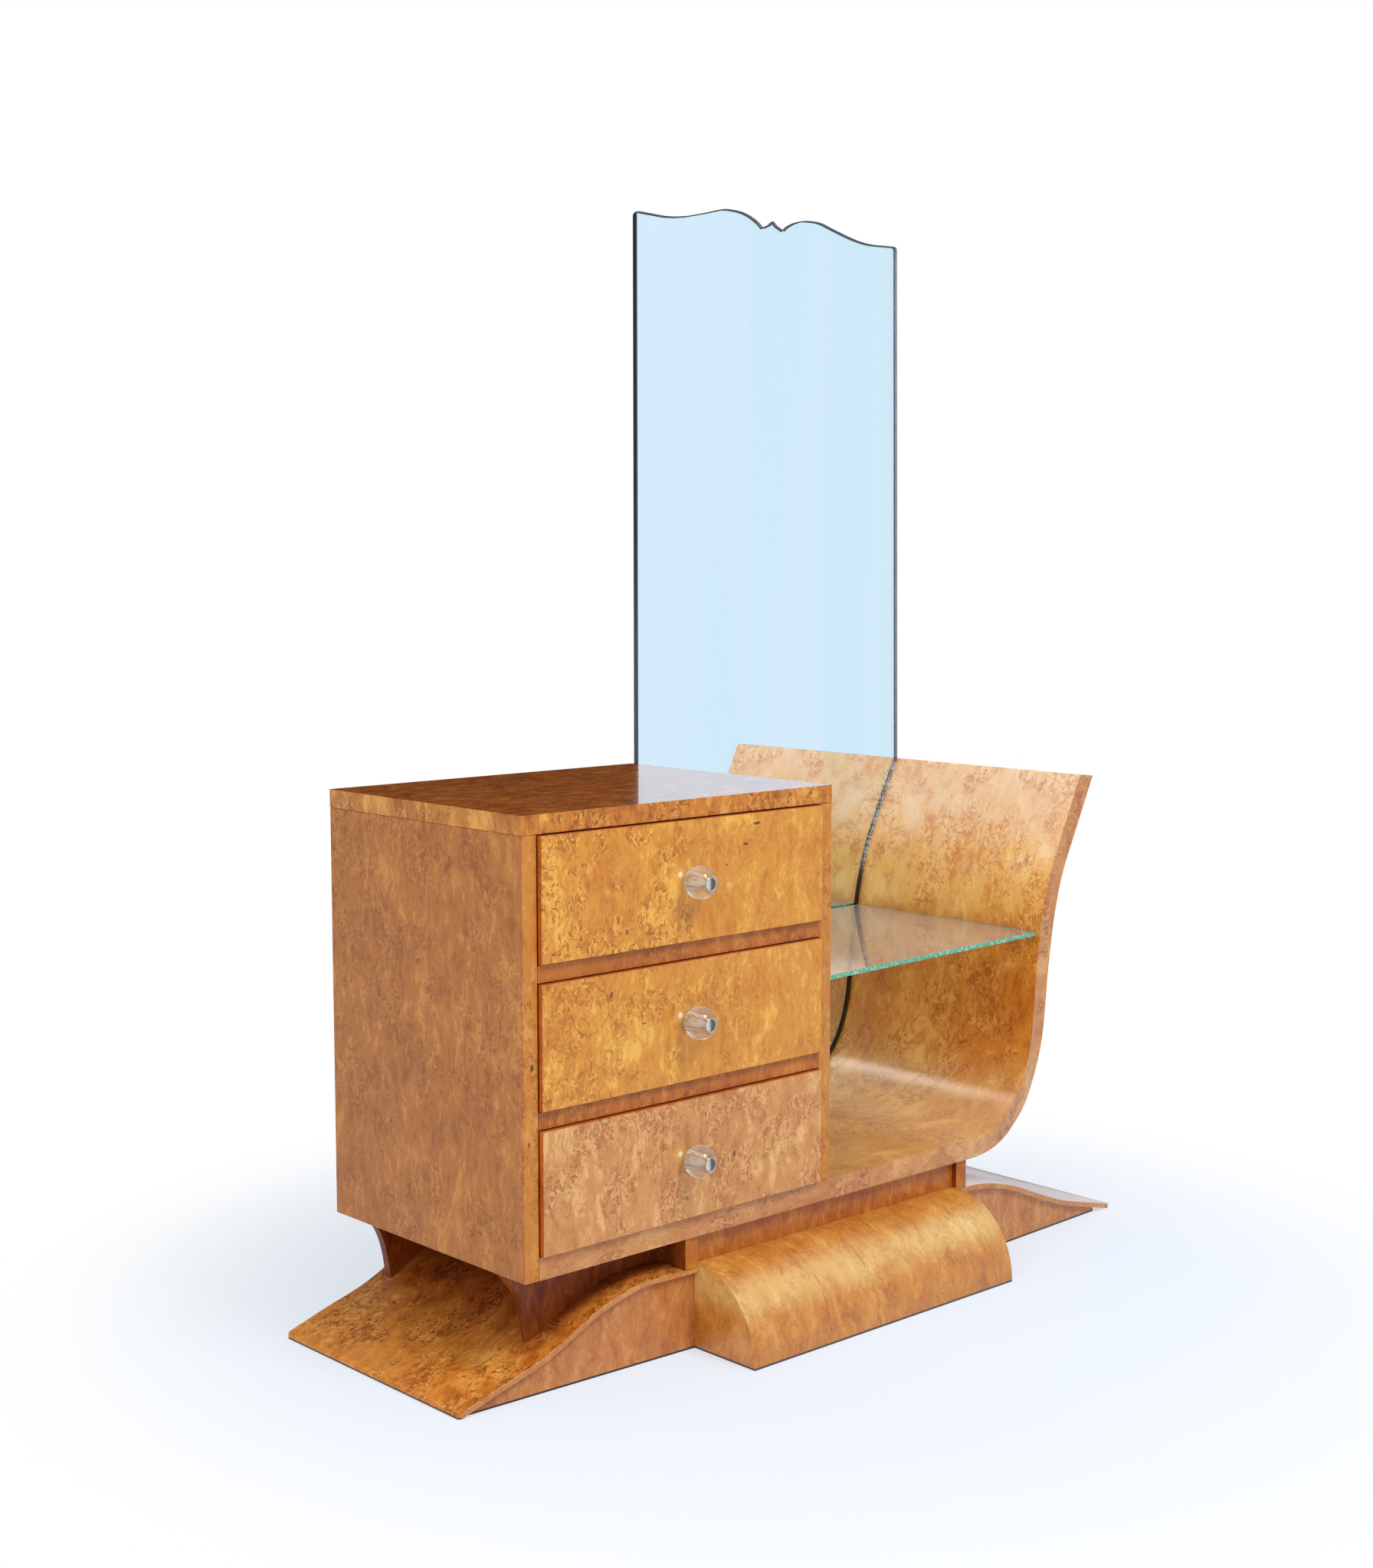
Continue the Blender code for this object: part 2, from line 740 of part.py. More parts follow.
def mirror_outline():
    """The mirror from the front, anticlockwise from its lower left corner."""
    left = RIGHT + GAP
    right = RIGHT + MIRROR_TOP_RIGHT
    middle = (left + right) / 2
    half = (right - left) / 2
    corner = MIRROR_CORNER
    outline = [(left, BAY_FLOOR + MIRROR_CLEARANCE)]
    outline += offset(wall_line(), MIRROR_CLEARANCE)
    outline += arc((right - corner, MIRROR_HEIGHT - corner), corner, 0, 90)
    hump = smooth(HUMP_SHARES, 3)
    shares = [*reversed(hump), *PEAK_SHARES, *[(-x, z) for x, z in hump]]
    outline += [(middle + x * half, MIRROR_HEIGHT + z * CREST_RISE) for x, z in shares]
    outline += arc((left + corner, MIRROR_HEIGHT - corner), corner, 90, 180)
    return outline


def mirror():
    """Silvered glass with a black backing board behind it."""
    outline = mirror_outline()
    front = FRONT + MIRROR_FRONT
    back = front + GLASS_THICKNESS
    side_prism("mirror_glass", outline, front, back, "silvered_glass")
    side_prism("mirror_backing", offset(outline, BACKING_INSET, True), back + GAP, REAR, "backing")


def mirror_plates(side_panel, board):
    """A plate across each rear edge of the mirror, with one screw into the board beside it."""
    near = REAR + GAP
    far = near + PLATE_THICKNESS
    low_z = PLATE_LEVEL - PLATE_WIDTH / 2
    high_z = PLATE_LEVEL + PLATE_WIDTH / 2
    wall = reach_at(wall_line(), PLATE_LEVEL)
    left_screw = RIGHT - SIDE_THICKNESS / 2
    right_screw = wall + BAY_THICKNESS / 2
    left_end = left_screw - PLATE_END
    right_end = right_screw + PLATE_END
    places = (
        ("mirror_left_plate", left_end, left_end + PLATE_LENGTH, left_screw, side_panel),
        ("mirror_right_plate", right_end - PLATE_LENGTH, right_end, right_screw, board),
    )
    for name, low_x, high_x, screw_x, holder in places:
        plate = box(name, (low_x, near, low_z), (high_x, far, high_z), "steel")
        seat = far + GAP
        tip = seat - PLATE_SCREW_LENGTH
        diameter = PLATE_SCREW_DIAMETER + 2 * GAP
        inner = (screw_x, tip - GAP, PLATE_LEVEL)
        hole = drill(name + "_hole", diameter, inner, (screw_x, far + OVERRUN, PLATE_LEVEL), ALONG_Y)
        cut(plate, hole)
        cut(holder, hole)
        plate_screw(name + "_screw", (screw_x, seat, PLATE_LEVEL))


def plate_screw(name, seat):
    """A pan-headed screw that points forward; seat is where its head bears."""
    shank = PLATE_SCREW_DIAMETER / 2
    head = PLATE_SCREW_HEAD_DIAMETER / 2
    profile = [
        (0, -PLATE_SCREW_HEAD),
        (head * 3 / 4, -PLATE_SCREW_HEAD),
        (head, -PLATE_SCREW_HEAD / 2),
        (head, 0),
        (shank, 0),
        (shank, PLATE_SCREW_LENGTH - shank),
        (0, PLATE_SCREW_LENGTH),
    ]
    turned(name, profile, seat, "steel", None, 20)


def shelf(side_panel, board):
    """The glass shelf, its front edge drawn back to the right, on two pegs at each end."""
    line = wall_line()
    start = RIGHT + SHELF_END_GAP
    end = reach_at(line, SHELF_UNDERSIDE) - SHELF_END_GAP
    left_front = FRONT + SHELF_LEFT_FRONT
    right_front = FRONT + SHELF_RIGHT_FRONT
    rear = FRONT + MIRROR_FRONT - SHELF_REAR_GAP
    plan = [(start, left_front), (end, right_front), (end, rear), (start, rear)]
    middle = (0, 0, (SHELF_TOP + SHELF_UNDERSIDE) / 2)
    glass = drawn("glass_shelf", plan, SHELF_THICKNESS, middle, UPRIGHT)
    dress(glass, "shelf_glass")
    add_bevel(glass, SHELF_EDGE)
    height = SHELF_UNDERSIDE - GAP - PEG_DIAMETER / 2
    wall = reach_at(line, height)
    ends = (("left", RIGHT, 1, left_front, side_panel), ("right", wall, -1, right_front, board))
    for side, face, way, front, holder in ends:
        for row, y in (("front", front + PEG_INSET), ("rear", rear - PEG_INSET)):
            name = "shelf_" + row + "_" + side + "_peg"
            outer = (face + way * PEG_REACH, y, height)
            inner = (face - way * PEG_HOLD, y, height)
            hole_end = (face - way * (PEG_HOLD + GAP), y, height)
            rod(name, PEG_DIAMETER, outer, inner, ALONG_X, "steel")
            cut(holder, drill(name + "_hole", PEG_DIAMETER + 2 * GAP, outer, hole_end, ALONG_X))


# Plinth


def wing_line(side):
    """The upper face of a wing from left to right, with its deck under the neck."""
    if side == "left":
        reach = NECK_LEFT - LEFT_TIP
        line = [(NECK_LEFT - x * reach, z * DECK_HEIGHT) for x, z in smooth(LEFT_WING_SHARES)]
        return [*reversed(line), (CORE_LEFT - GAP, DECK_HEIGHT)]
    reach = RIGHT_TIP - NECK_RIGHT
    line = [(NECK_RIGHT + x * reach, z * DECK_HEIGHT) for x, z in smooth(RIGHT_WING_SHARES)]
    return [(CORE_RIGHT + GAP, DECK_HEIGHT), *line]


def wing_front(side, x):
    """The front edge of a wing, which draws back towards its tip."""
    if side == "left":
        share = (NECK_LEFT - x) / (NECK_LEFT - LEFT_TIP)
    else:
        share = (x - NECK_RIGHT) / (RIGHT_TIP - NECK_RIGHT)
    return PLINTH_FRONT + share * (TIP_FRONT - NECK_FRONT)


def trimmed(name, outline, plan, finish, edge=0.0):
    """An outline seen from the front, cut to a plan."""
    depths = [y for x, y in plan]
    item = side_prism(name, outline, min(depths) - OVERRUN, max(depths) + OVERRUN, finish)
    height = DECK_HEIGHT + 2 * OVERRUN
    cutter = as_cutter(drawn(name + "_plan", plan, height, (0, 0, height / 2 - OVERRUN), UPRIGHT, CUTTERS))
    cut(item, cutter, "INTERSECT")
    if edge:
        add_bevel(item, edge)
    return item


def sheet_outline(side):
    top = wing_line(side)
    under = [(x, max(z, 0)) for x, z in offset(top, -SHEET_THICKNESS)]
    if side == "left":
        under[0] = (LEFT_TIP, 0)
    else:
        under[-1] = (RIGHT_TIP, 0)
    return [*under, *reversed(top)]


def sheet_plan(side):
    """A wing from above, with the corners of its tip rounded."""
    radius = TIP_RADIUS
    if side == "left":
        inner = CORE_LEFT - GAP
        tip = LEFT_TIP
        way = 1
    else:
        inner = CORE_RIGHT + GAP
        tip = RIGHT_TIP
        way = -1
    centre_x = tip + way * radius
    end_y = wing_front(side, centre_x)
    plan = [(inner, wing_front(side, inner))]
    front = arc((0, end_y + radius), radius, -90, 0)
    rear = arc((0, PLINTH_REAR - radius), radius, 0, 90)
    plan += [(centre_x - way * x, y) for x, y in [*front, *rear]]
    return [*plan, (inner, PLINTH_REAR)]


def wing(side):
    """The sheet and the two panels that carry it."""
    trimmed(side + "_wing_sheet", sheet_outline(side), sheet_plan(side), "burr", SHEET_EDGE)
    under = offset(wing_line(side), -SHEET_THICKNESS - GAP)
    under = [point for point in under if point[1] > PANEL_END]
    outline = [(under[0][0], 0), (under[-1][0], 0), *reversed(under)]
    left = min(x for x, z in under) - OVERRUN
    right = max(x for x, z in under) + OVERRUN
    front_left = wing_front(side, left) + WING_RECESS
    front_right = wing_front(side, right) + WING_RECESS
    plan = [
        (left, front_left),
        (right, front_right),
        (right, front_right + WING_PANEL),
        (left, front_left + WING_PANEL),
    ]
    trimmed(side + "_wing_front_panel", outline, plan, "edge_veneer")
    rear = PLINTH_REAR - WING_RECESS
    side_prism(side + "_wing_rear_panel", outline, rear - WING_PANEL, rear, "edge_veneer")


def plinth_box():
    """End panels on the wings' decks, and the boards between them."""
    sides = (("left", NECK_LEFT, CORE_LEFT - GAP), ("right", CORE_RIGHT + GAP, NECK_RIGHT))
    for side, low_x, high_x in sides:
        box(
            "neck_" + side + "_panel",
            (low_x, PLINTH_FRONT, DECK_HEIGHT + GAP),
            (high_x, PLINTH_REAR, UNDERSIDE - GAP),
            "edge_veneer",
        )
    for name, low_y in (("plinth_front_board", CORE_FRONT), ("plinth_rear_board", CORE_REAR - NECK_BOARD)):
        box(name, (CORE_LEFT, low_y, 0), (CORE_RIGHT, low_y + NECK_BOARD, UNDERSIDE - GAP), "edge_veneer")


def bullnose():
    """The rounded block before the plinth, a quarter of an ellipse from the end."""
    angles = [pi / 2 * step / BULLNOSE_STEPS for step in range(BULLNOSE_STEPS + 1)]
    round_face = [(FRONT - BULLNOSE_REACH * cos(angle), BULLNOSE_TOP * sin(angle)) for angle in angles]
    back = CORE_FRONT - GAP
    outline = [(back, 0), *round_face, (back, BULLNOSE_TOP)]
    middle = ((CORE_LEFT + CORE_RIGHT) / 2, 0, 0)
    item = drawn("bullnose", outline, CORE_RIGHT - CORE_LEFT, middle, ALONG_X)
    dress(item, "burr")
    add_bevel(item, BULLNOSE_EDGE)


def fin(name, top_inset, foot_inset, front):
    """A fin that carries the cabinet over the left wing, flared under the cabinet."""
    top_z = UNDERSIDE - GAP
    right = NECK_LEFT - GAP
    foot_x = LEFT + foot_inset
    bed = [point for point in offset(wing_line("left"), GAP) if foot_x < point[0] < right]
    foot = (foot_x, bed[0][1])
    head = (LEFT + top_inset, top_z)
    span_x = foot[0] - head[0]
    span_z = head[1] - foot[1]
    shares = [(0, 0), *FIN_SHARES, (1, 1)]
    edge = smooth([(head[0] + x * span_x, head[1] - z * span_z) for x, z in shares])
    outline = [*edge, *bed[1:], (right, DECK_HEIGHT + GAP), (right, top_z)]
    side_prism(name, outline, front, front + FIN_THICKNESS, "fin_veneer")


def fins():
    fin("front_fin", FRONT_FIN_TOP, FRONT_FIN_FOOT, FRONT + FRONT_FIN_PLACE)
    fin("rear_fin", REAR_FIN_TOP, REAR_FIN_FOOT, REAR - REAR_FIN_PLACE - FIN_THICKNESS)


def build():
    clear_scene()
    add_collection(PARTS)
    add_collection(CUTTERS)
    top_board()
    side_panel = side_panels()
    cabinet_back()
    rails_and_runners()
    for name, slide in zip(DRAWERS, slide_heights()):
        drawer(name, slide)
    board = bay_board()
    mirror()
    shelf(side_panel, board)
    mirror_plates(side_panel, board)
    plinth_box()
    bullnose()
    wing("left")
    wing("right")
    fins()


build()
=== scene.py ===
"""Looks of the dressing table: veneers, glass, mirror and metal, with a studio and a camera."""
import json
from math import asin, atan2, cos, hypot, pi, radians, sin

import bmesh
import bpy
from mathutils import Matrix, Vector

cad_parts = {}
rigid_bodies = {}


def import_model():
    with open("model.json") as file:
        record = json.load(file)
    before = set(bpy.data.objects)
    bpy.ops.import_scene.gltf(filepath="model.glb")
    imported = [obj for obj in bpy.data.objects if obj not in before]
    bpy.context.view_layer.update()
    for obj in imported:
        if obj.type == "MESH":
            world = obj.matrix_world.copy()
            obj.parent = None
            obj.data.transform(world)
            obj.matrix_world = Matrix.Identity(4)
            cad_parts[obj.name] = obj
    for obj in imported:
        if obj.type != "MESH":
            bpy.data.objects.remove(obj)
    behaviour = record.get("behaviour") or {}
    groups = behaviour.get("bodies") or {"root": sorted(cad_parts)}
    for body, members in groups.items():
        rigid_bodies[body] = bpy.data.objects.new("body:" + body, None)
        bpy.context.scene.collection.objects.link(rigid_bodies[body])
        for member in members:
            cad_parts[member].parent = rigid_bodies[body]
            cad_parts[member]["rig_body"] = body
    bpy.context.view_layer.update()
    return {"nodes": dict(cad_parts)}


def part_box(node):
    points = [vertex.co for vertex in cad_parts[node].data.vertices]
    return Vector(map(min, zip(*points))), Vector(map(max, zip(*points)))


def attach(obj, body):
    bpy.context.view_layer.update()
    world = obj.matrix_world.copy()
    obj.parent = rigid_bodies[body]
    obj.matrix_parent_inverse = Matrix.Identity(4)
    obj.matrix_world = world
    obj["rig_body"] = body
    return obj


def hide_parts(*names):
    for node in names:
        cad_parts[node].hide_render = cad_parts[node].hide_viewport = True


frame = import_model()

NODES = frame["nodes"]
X, Y, Z = range(3)

# Places that follow from the frame
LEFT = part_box("left_side_panel")[0].x
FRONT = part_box("left_side_panel")[0].y
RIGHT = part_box("right_side_panel")[1].x
BAY_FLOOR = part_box("right_side_panel")[0].z
WALL_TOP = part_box("bay_board")[1].z
FLOOR = 0.0

# Meshes
WELD = 0.000002
SMOOTH_LIMIT = radians(40)
FLAT_LIMIT = radians(0.2)
RELIEF = 0.0001  # depth of a material's bump

# Mirror: the ground edge of its pane, and where its painted edges change
ARRIS = 0.0018
WALL_ARRIS = 0.0038  # beside the bay's wall
ARRIS_DEPTH = 0.0006
DEPTH_STEP = 0.001  # a step in depth that is more than the arris
WALL_ARRIS_FOOT = 0.005  # height over the bay's floor where the wide arris starts
LOW_EDGE = 0.1  # the same for edges that are painted as beside the wall
FACE_SLOT, SILVER_SLOT, EDGE_SLOT, WALL_EDGE_SLOT, PALE_EDGE_SLOT = range(5)

# Knob
BALL_STEPS = 40
TURN_STEPS = 96
CROWN_STEPS = 8
KNOB_FOOT = 0.020
KNOB_CORE = 0.0125
KNOB_GAP = 0.0003
KNOB_EASE = 0.0003
# where the painted spot of light sits beside each knob
KNOB_GLINT = (-0.0165, 0.0092)  # from the knob's axis, along X and Z

# Inner line of the bay board, from the cabinet's right face
BAY_FLAT = 0.290
BAY_REACH = 0.540
WALL_SHARES = (
    (0, 0),
    (0.140, 0.006),
    (0.285, 0.032),
    (0.432, 0.084),
    (0.530, 0.162),
    (0.579, 0.240),
    (0.602, 0.324),
    (0.619, 0.414),
    (0.651, 0.533),
    (0.687, 0.626),
    (0.752, 0.737),
    (0.878, 0.872),
    (1, 1),
)

# Light
AMBIENT = 0.52
KEY_POWER = 70
LEFT_POWER = 45
TOP_POWER = 8
REAR_POWER = 7
WHITE = (1, 1, 1)
DIM_WALL = (0.016, 0.011, 0.009)
PALE_WALL = (0.70, 0.87, 0.99)
FLOOR_SIZE = 60
FLOOR_DROP = 0.0004
FLOOR_COLOUR = (0.78, 0.82, 0.98)
FLOOR_GLOW = 0.58
NEAR_FLOOR = (0.88, 0.95, 1.0)
FLOOR_FADE = (0.46, 1.05)  # distances from the middle between which the floor turns white

# Camera, fitted to the photograph
CAMERA_PLACE = (-2.0360, -2.0607, 0.9723)
CAMERA_TURN = (radians(84.0357), 0, radians(-42.6006))
CAMERA_LENS = 50.555
SENSOR = 36
FAR_CLIP = 100


def srgb(red, green, blue):
    """A linear colour from the numbers of a screen colour."""
    values = (channel / 255 for channel in (red, green, blue))
    return tuple(v / 12.92 if v <= 0.04045 else ((v + 0.055) / 1.055) ** 2.4 for v in values)


class Tree:
    """Short names for the nodes of one tree."""

    def __init__(self, tree):
        self.tree = tree
        self.nodes = tree.nodes

    def feed(self, socket, value):
        if isinstance(value, bpy.types.NodeSocket):
            self.tree.links.new(value, socket)
        elif socket.type == "RGBA":
            socket.default_value = (*value[:3], 1)
        else:
            socket.default_value = value

    def add(self, kind, inputs=(), **settings):
        made = self.nodes.new(kind)
        for name, value in settings.items():
            setattr(made, name, value)
        for key, value in dict(inputs).items():
            self.feed(made.inputs[key], value)
        return made

    def math(self, operation, *values, clamp=False):
        inputs = dict(enumerate(values))
        return self.add("ShaderNodeMath", inputs, operation=operation, use_clamp=clamp).outputs[0]

    def product(self, first, *others):
        for other in others:
            first = self.math("MULTIPLY", first, other)
        return first

    def vector(self, operation, *values):
        inputs = dict(enumerate(values))
        return self.add("ShaderNodeVectorMath", inputs, operation=operation).outputs[0]

    def length(self, vector):
        made = self.add("ShaderNodeVectorMath", {0: vector}, operation="LENGTH")
        return made.outputs["Value"]

    def noise(self, place, scale, detail=2.0, roughness=0.5, distortion=0.0):
        inputs = {"Vector": place, "Scale": scale, "Detail": detail, "Roughness": roughness}
        inputs["Distortion"] = distortion
        return self.add("ShaderNodeTexNoise", inputs)

    def grey(self, place, scale, detail=2.0, roughness=0.5, distortion=0.0):
        return self.noise(place, scale, detail, roughness, distortion).outputs["Fac"]

    def spread(self, value, low, high):
        """From 0 at low to 1 at high, smoothly."""
        inputs = {"Value": value, "From Min": low, "From Max": high}
        made = self.add("ShaderNodeMapRange", inputs, interpolation_type="SMOOTHSTEP")
        return made.outputs["Result"]

    def band(self, value, middle, outer, inner):
        """1 within inner of the middle, and 0 further than outer from it."""
        away = self.math("ABSOLUTE", self.math("SUBTRACT", value, middle))
        return self.spread(away, outer, inner)

    def mix(self, share, first, second):
        inputs = {0: share, 6: first, 7: second}
        return self.add("ShaderNodeMix", inputs, data_type="RGBA").outputs[2]

    def blend(self, share, first, second):
        """Two shaders mixed."""
        return self.add("ShaderNodeMixShader", {0: share, 1: first, 2: second}).outputs[0]

    def parts(self, vector):
        return self.add("ShaderNodeSeparateXYZ", {0: vector}).outputs

    def object_place(self):
        return self.add("ShaderNodeTexCoord").outputs["Object"]

    def stretched_place(self, grain):
        return self.vector("MULTIPLY", self.object_place(), grain)

    def grain_place(self):
        """The unrolled place that a curved piece keeps in its own attribute."""
        return self.add("ShaderNodeAttribute", attribute_name="grain").outputs["Vector"]


class Material(Tree):
    """A new material and the nodes of its tree."""

    def __init__(self, name):
        self.material = bpy.data.materials.new(name)
        self.material.use_nodes = True
        super().__init__(self.material.node_tree)
        self.shader = self.nodes["Principled BSDF"]

    def shade(self, **values):
        for name, value in values.items():
            self.feed(self.shader.inputs[name.replace("_", " ")], value)

    def bump(self, height, strength):
        inputs = {"Height": height, "Distance": RELIEF, "Strength": strength}
        normal = self.add("ShaderNodeBump", inputs).outputs["Normal"]
        self.tree.links.new(normal, self.shader.inputs["Normal"])

    def show(self, surface):
        """Make a shader the material's surface."""
        self.tree.links.new(surface, self.nodes["Material Output"].inputs["Surface"])


# Veneers

UPRIGHT_GRAIN = (1, 1, 0.38)
SIDEWAYS_GRAIN = (0.50, 1, 1)

# Figure of the burr: the scales of its noises, and how far they drift
SEED_STEP = (1.37, 0.71, 1.13)
DRIFT_SCALE = 17
DRIFT = 0.034
FLAME_SCALE = 64
CLOUD_SCALE = 13
FEATHER_SCALE = 280
FEATHER_SHARE = 0.25
SWIRL_SCALE = 124
CLUSTER_SCALE = 17
BREAK_SCALE = 120
MOTTLE_SCALE = 48
PIP_SCALE = 42
WANDER_SCALE = 22
ROUGH_SCALE = 260

# Marks on the veneer, and a painted spot of light beside each knob
CRACK_WANDER = 0.012
CRACK_REACH = (0.0009, 0.0003)
CRACK = srgb(96, 50, 22)
GLINT_REACH = (0.016, 0.002)
GLINT_GLOW = srgb(240, 178, 96)
GLINT_CORE_REACH = (0.0052, 0.0008)
GLINT_CORE = srgb(255, 240, 214)
# Painted shade: a dark line along the foot of a piece, where it meets the floor
FLOOR_SHADE_LINE = (FLOOR + 0.0032, FLOOR + 0.0018)
FLOOR_SHADE_TONE = srgb(58, 38, 34)

# Stretches over which the tones of a veneer change
# On the bay board: painted shade low on its wall, painted light higher up and a painted pale
# reflection at its crest
BEND_STRETCH = (0.86, 0.98)  # along the unrolled bay board
RISE_STRETCH = (1.12, 1.18)
CREST_STRETCH = (1.20, 1.34)
OUTSIDE_STRETCH = (0.004, 0.009)  # away from the bay board's inner face
# Round the bullnose: a painted sheen band, which ends at the crown
PAINTED_SHEEN_STRETCH = (0.045, 0.080)  # round the bullnose
CROWN_STRETCH = (0.092, 0.125)
# On each wing: painted shade under the cabinet and the bay board, deeper nearer the neck, and a
# painted half shade on the strip along the front
PAINTED_SHADE_STRETCH = (0.550, 0.475)  # along X, on each wing
PAINTED_DEEP_SHADE_STRETCH = (0.505, 0.430)
PAINTED_HALF_SHADE_STRETCH = (-0.095, -0.118)  # along Y, on each wing
# where a drawer front's edge goes from its lip to painted shade in the gap
LIP_STRETCH = (FRONT - 0.0004, FRONT - 0.0012)  # along Y, on the edges of a drawer's front


def figured(tree, place, tones, grain, seed, flame, curls, pips, calm=None):
    """Burr veneer of clouds, flames, curls and pips: its colour, its cloudy tone and its swirl.

    Calm is two places along X, between which the curls fade to a third.
    """
    dark, middle, light, mark = tones
    moved = tree.vector("ADD", place, tuple(seed * step for step in SEED_STEP))
    drift = tree.noise(moved, DRIFT_SCALE, 2).outputs["Color"]
    drift = tree.vector("SUBTRACT", drift, (0.5, 0.5, 0.5))
    warped = tree.vector("ADD", moved, tree.vector("MULTIPLY", drift, (DRIFT, DRIFT, DRIFT)))
    along = tree.vector("MULTIPLY", warped, grain)
    flames = tree.grey(along, FLAME_SCALE, 4, 0.62, 0.4)
    clouds = tree.grey(warped, CLOUD_SCALE, 3, 0.55)
    feathers = tree.grey(along, FEATHER_SCALE, 3, 0.65, 0.6)
    cloud_share = 1 - FEATHER_SHARE - flame
    tone = tree.math("MULTIPLY_ADD", flames, flame, tree.math("MULTIPLY", clouds, cloud_share))
    tone = tree.math("MULTIPLY_ADD", feathers, FEATHER_SHARE, tone)
    colour = tree.mix(tree.spread(tone, 0.38, 0.50), dark, middle)
    colour = tree.mix(tree.spread(tone, 0.50, 0.61), colour, light)

    slight = tuple(part**0.5 for part in grain)
    swirl = tree.grey(tree.vector("MULTIPLY", warped, slight), SWIRL_SCALE, 3, 0.62, 1.0)
    clusters = tree.spread(tree.grey(moved, CLUSTER_SCALE, 2, 0.6), 0.43, 0.57)
    broken = tree.spread(tree.grey(moved, BREAK_SCALE, 1), 0.40, 0.54)
    if calm:
        fade = tree.math("MULTIPLY_ADD", tree.spread(tree.parts(place)[0], *calm), -0.7, 1.0)
        clusters = tree.math("MULTIPLY", clusters, fade)
    mottle = tree.spread(tree.grey(warped, MOTTLE_SCALE, 3, 0.65, 0.5), 0.50, 0.60)
    colour = tree.mix(tree.product(mottle, clusters, curls * 0.5), colour, mark)
    amount = tree.product(clusters, broken, curls)
    fleck = tree.band(swirl, 0.57, 0.075, 0.015)
    colour = tree.mix(tree.product(fleck, amount, 0.8), colour, light)
    line = tree.band(swirl, 0.45, 0.060, 0.006)
    colour = tree.mix(tree.product(line, amount), colour, mark)

    cell_inputs = {"Vector": along, "Scale": PIP_SCALE, "Randomness": 1.0}
    cells = tree.add("ShaderNodeTexVoronoi", cell_inputs).outputs
    chosen = tree.spread(tree.parts(cells["Color"])[0], 0.86, 0.89)
    pip = tree.spread(cells["Distance"], 0.085, 0.05)
    colour = tree.mix(tree.product(pip, chosen, pips), colour, PIP)
    return colour, tone, swirl


def cracked(tree, place, colour, wander, cracks):
    """Thin broken cracks at places along X."""
    across = tree.math("MULTIPLY_ADD", wander, CRACK_WANDER, tree.parts(place)[0])
    kept = tree.spread(tree.grey(place, 45, 2), 0.46, 0.54)
    for spot in cracks:
        share = tree.product(tree.band(across, spot, *CRACK_REACH), kept, 0.6)
        colour = tree.mix(share, colour, CRACK)
    return colour


def apart(tree, place, spot, wide=1, high=1):
    """Distance in the front's plane from a spot (x, z), in shares of a half width and height."""
    x, z = spot
    away = tree.vector("SUBTRACT", place, (x, 0, z))
    return tree.length(tree.vector("MULTIPLY", away, (1 / wide, 0, 1 / high)))


def marked(tree, place, colour, wander, ring_tone, knots, rings):
    """Dark knots and ring lines, with rough outlines."""
    rough = tree.math("SUBTRACT", tree.grey(place, ROUGH_SCALE, 2), 0.5)
    rough = tree.math("MULTIPLY", rough, 1.2)
    for spot, wide, high in knots:
        reach = tree.math("ADD", apart(tree, place, spot, wide, high), rough)
        colour = tree.mix(tree.product(tree.spread(reach, 1.1, 0.6), 0.85), colour, PIP)
    for spot, radius in rings:
        reach = tree.math("MULTIPLY_ADD", wander, 1.6, apart(tree, place, spot, radius, radius))
        line = tree.band(reach, 1, 0.060, 0.015)
        share = tree.product(line, 0.7, tree.spread(rough, -0.25, 0.05))
        colour = tree.mix(share, colour, ring_tone)
    return colour


def glinting(tree, place, colour, spot):
    """A painted spot of light on the front beside a clear knob, standing in for the light that the
    knob throws.
    """
    reach = apart(tree, place, spot)
    glow = tree.product(tree.spread(reach, *GLINT_REACH), 0.5)
    colour = tree.mix(glow, colour, GLINT_GLOW)
    core = tree.product(tree.spread(reach, *GLINT_CORE_REACH), 0.8)
    return tree.mix(core, colour, GLINT_CORE)


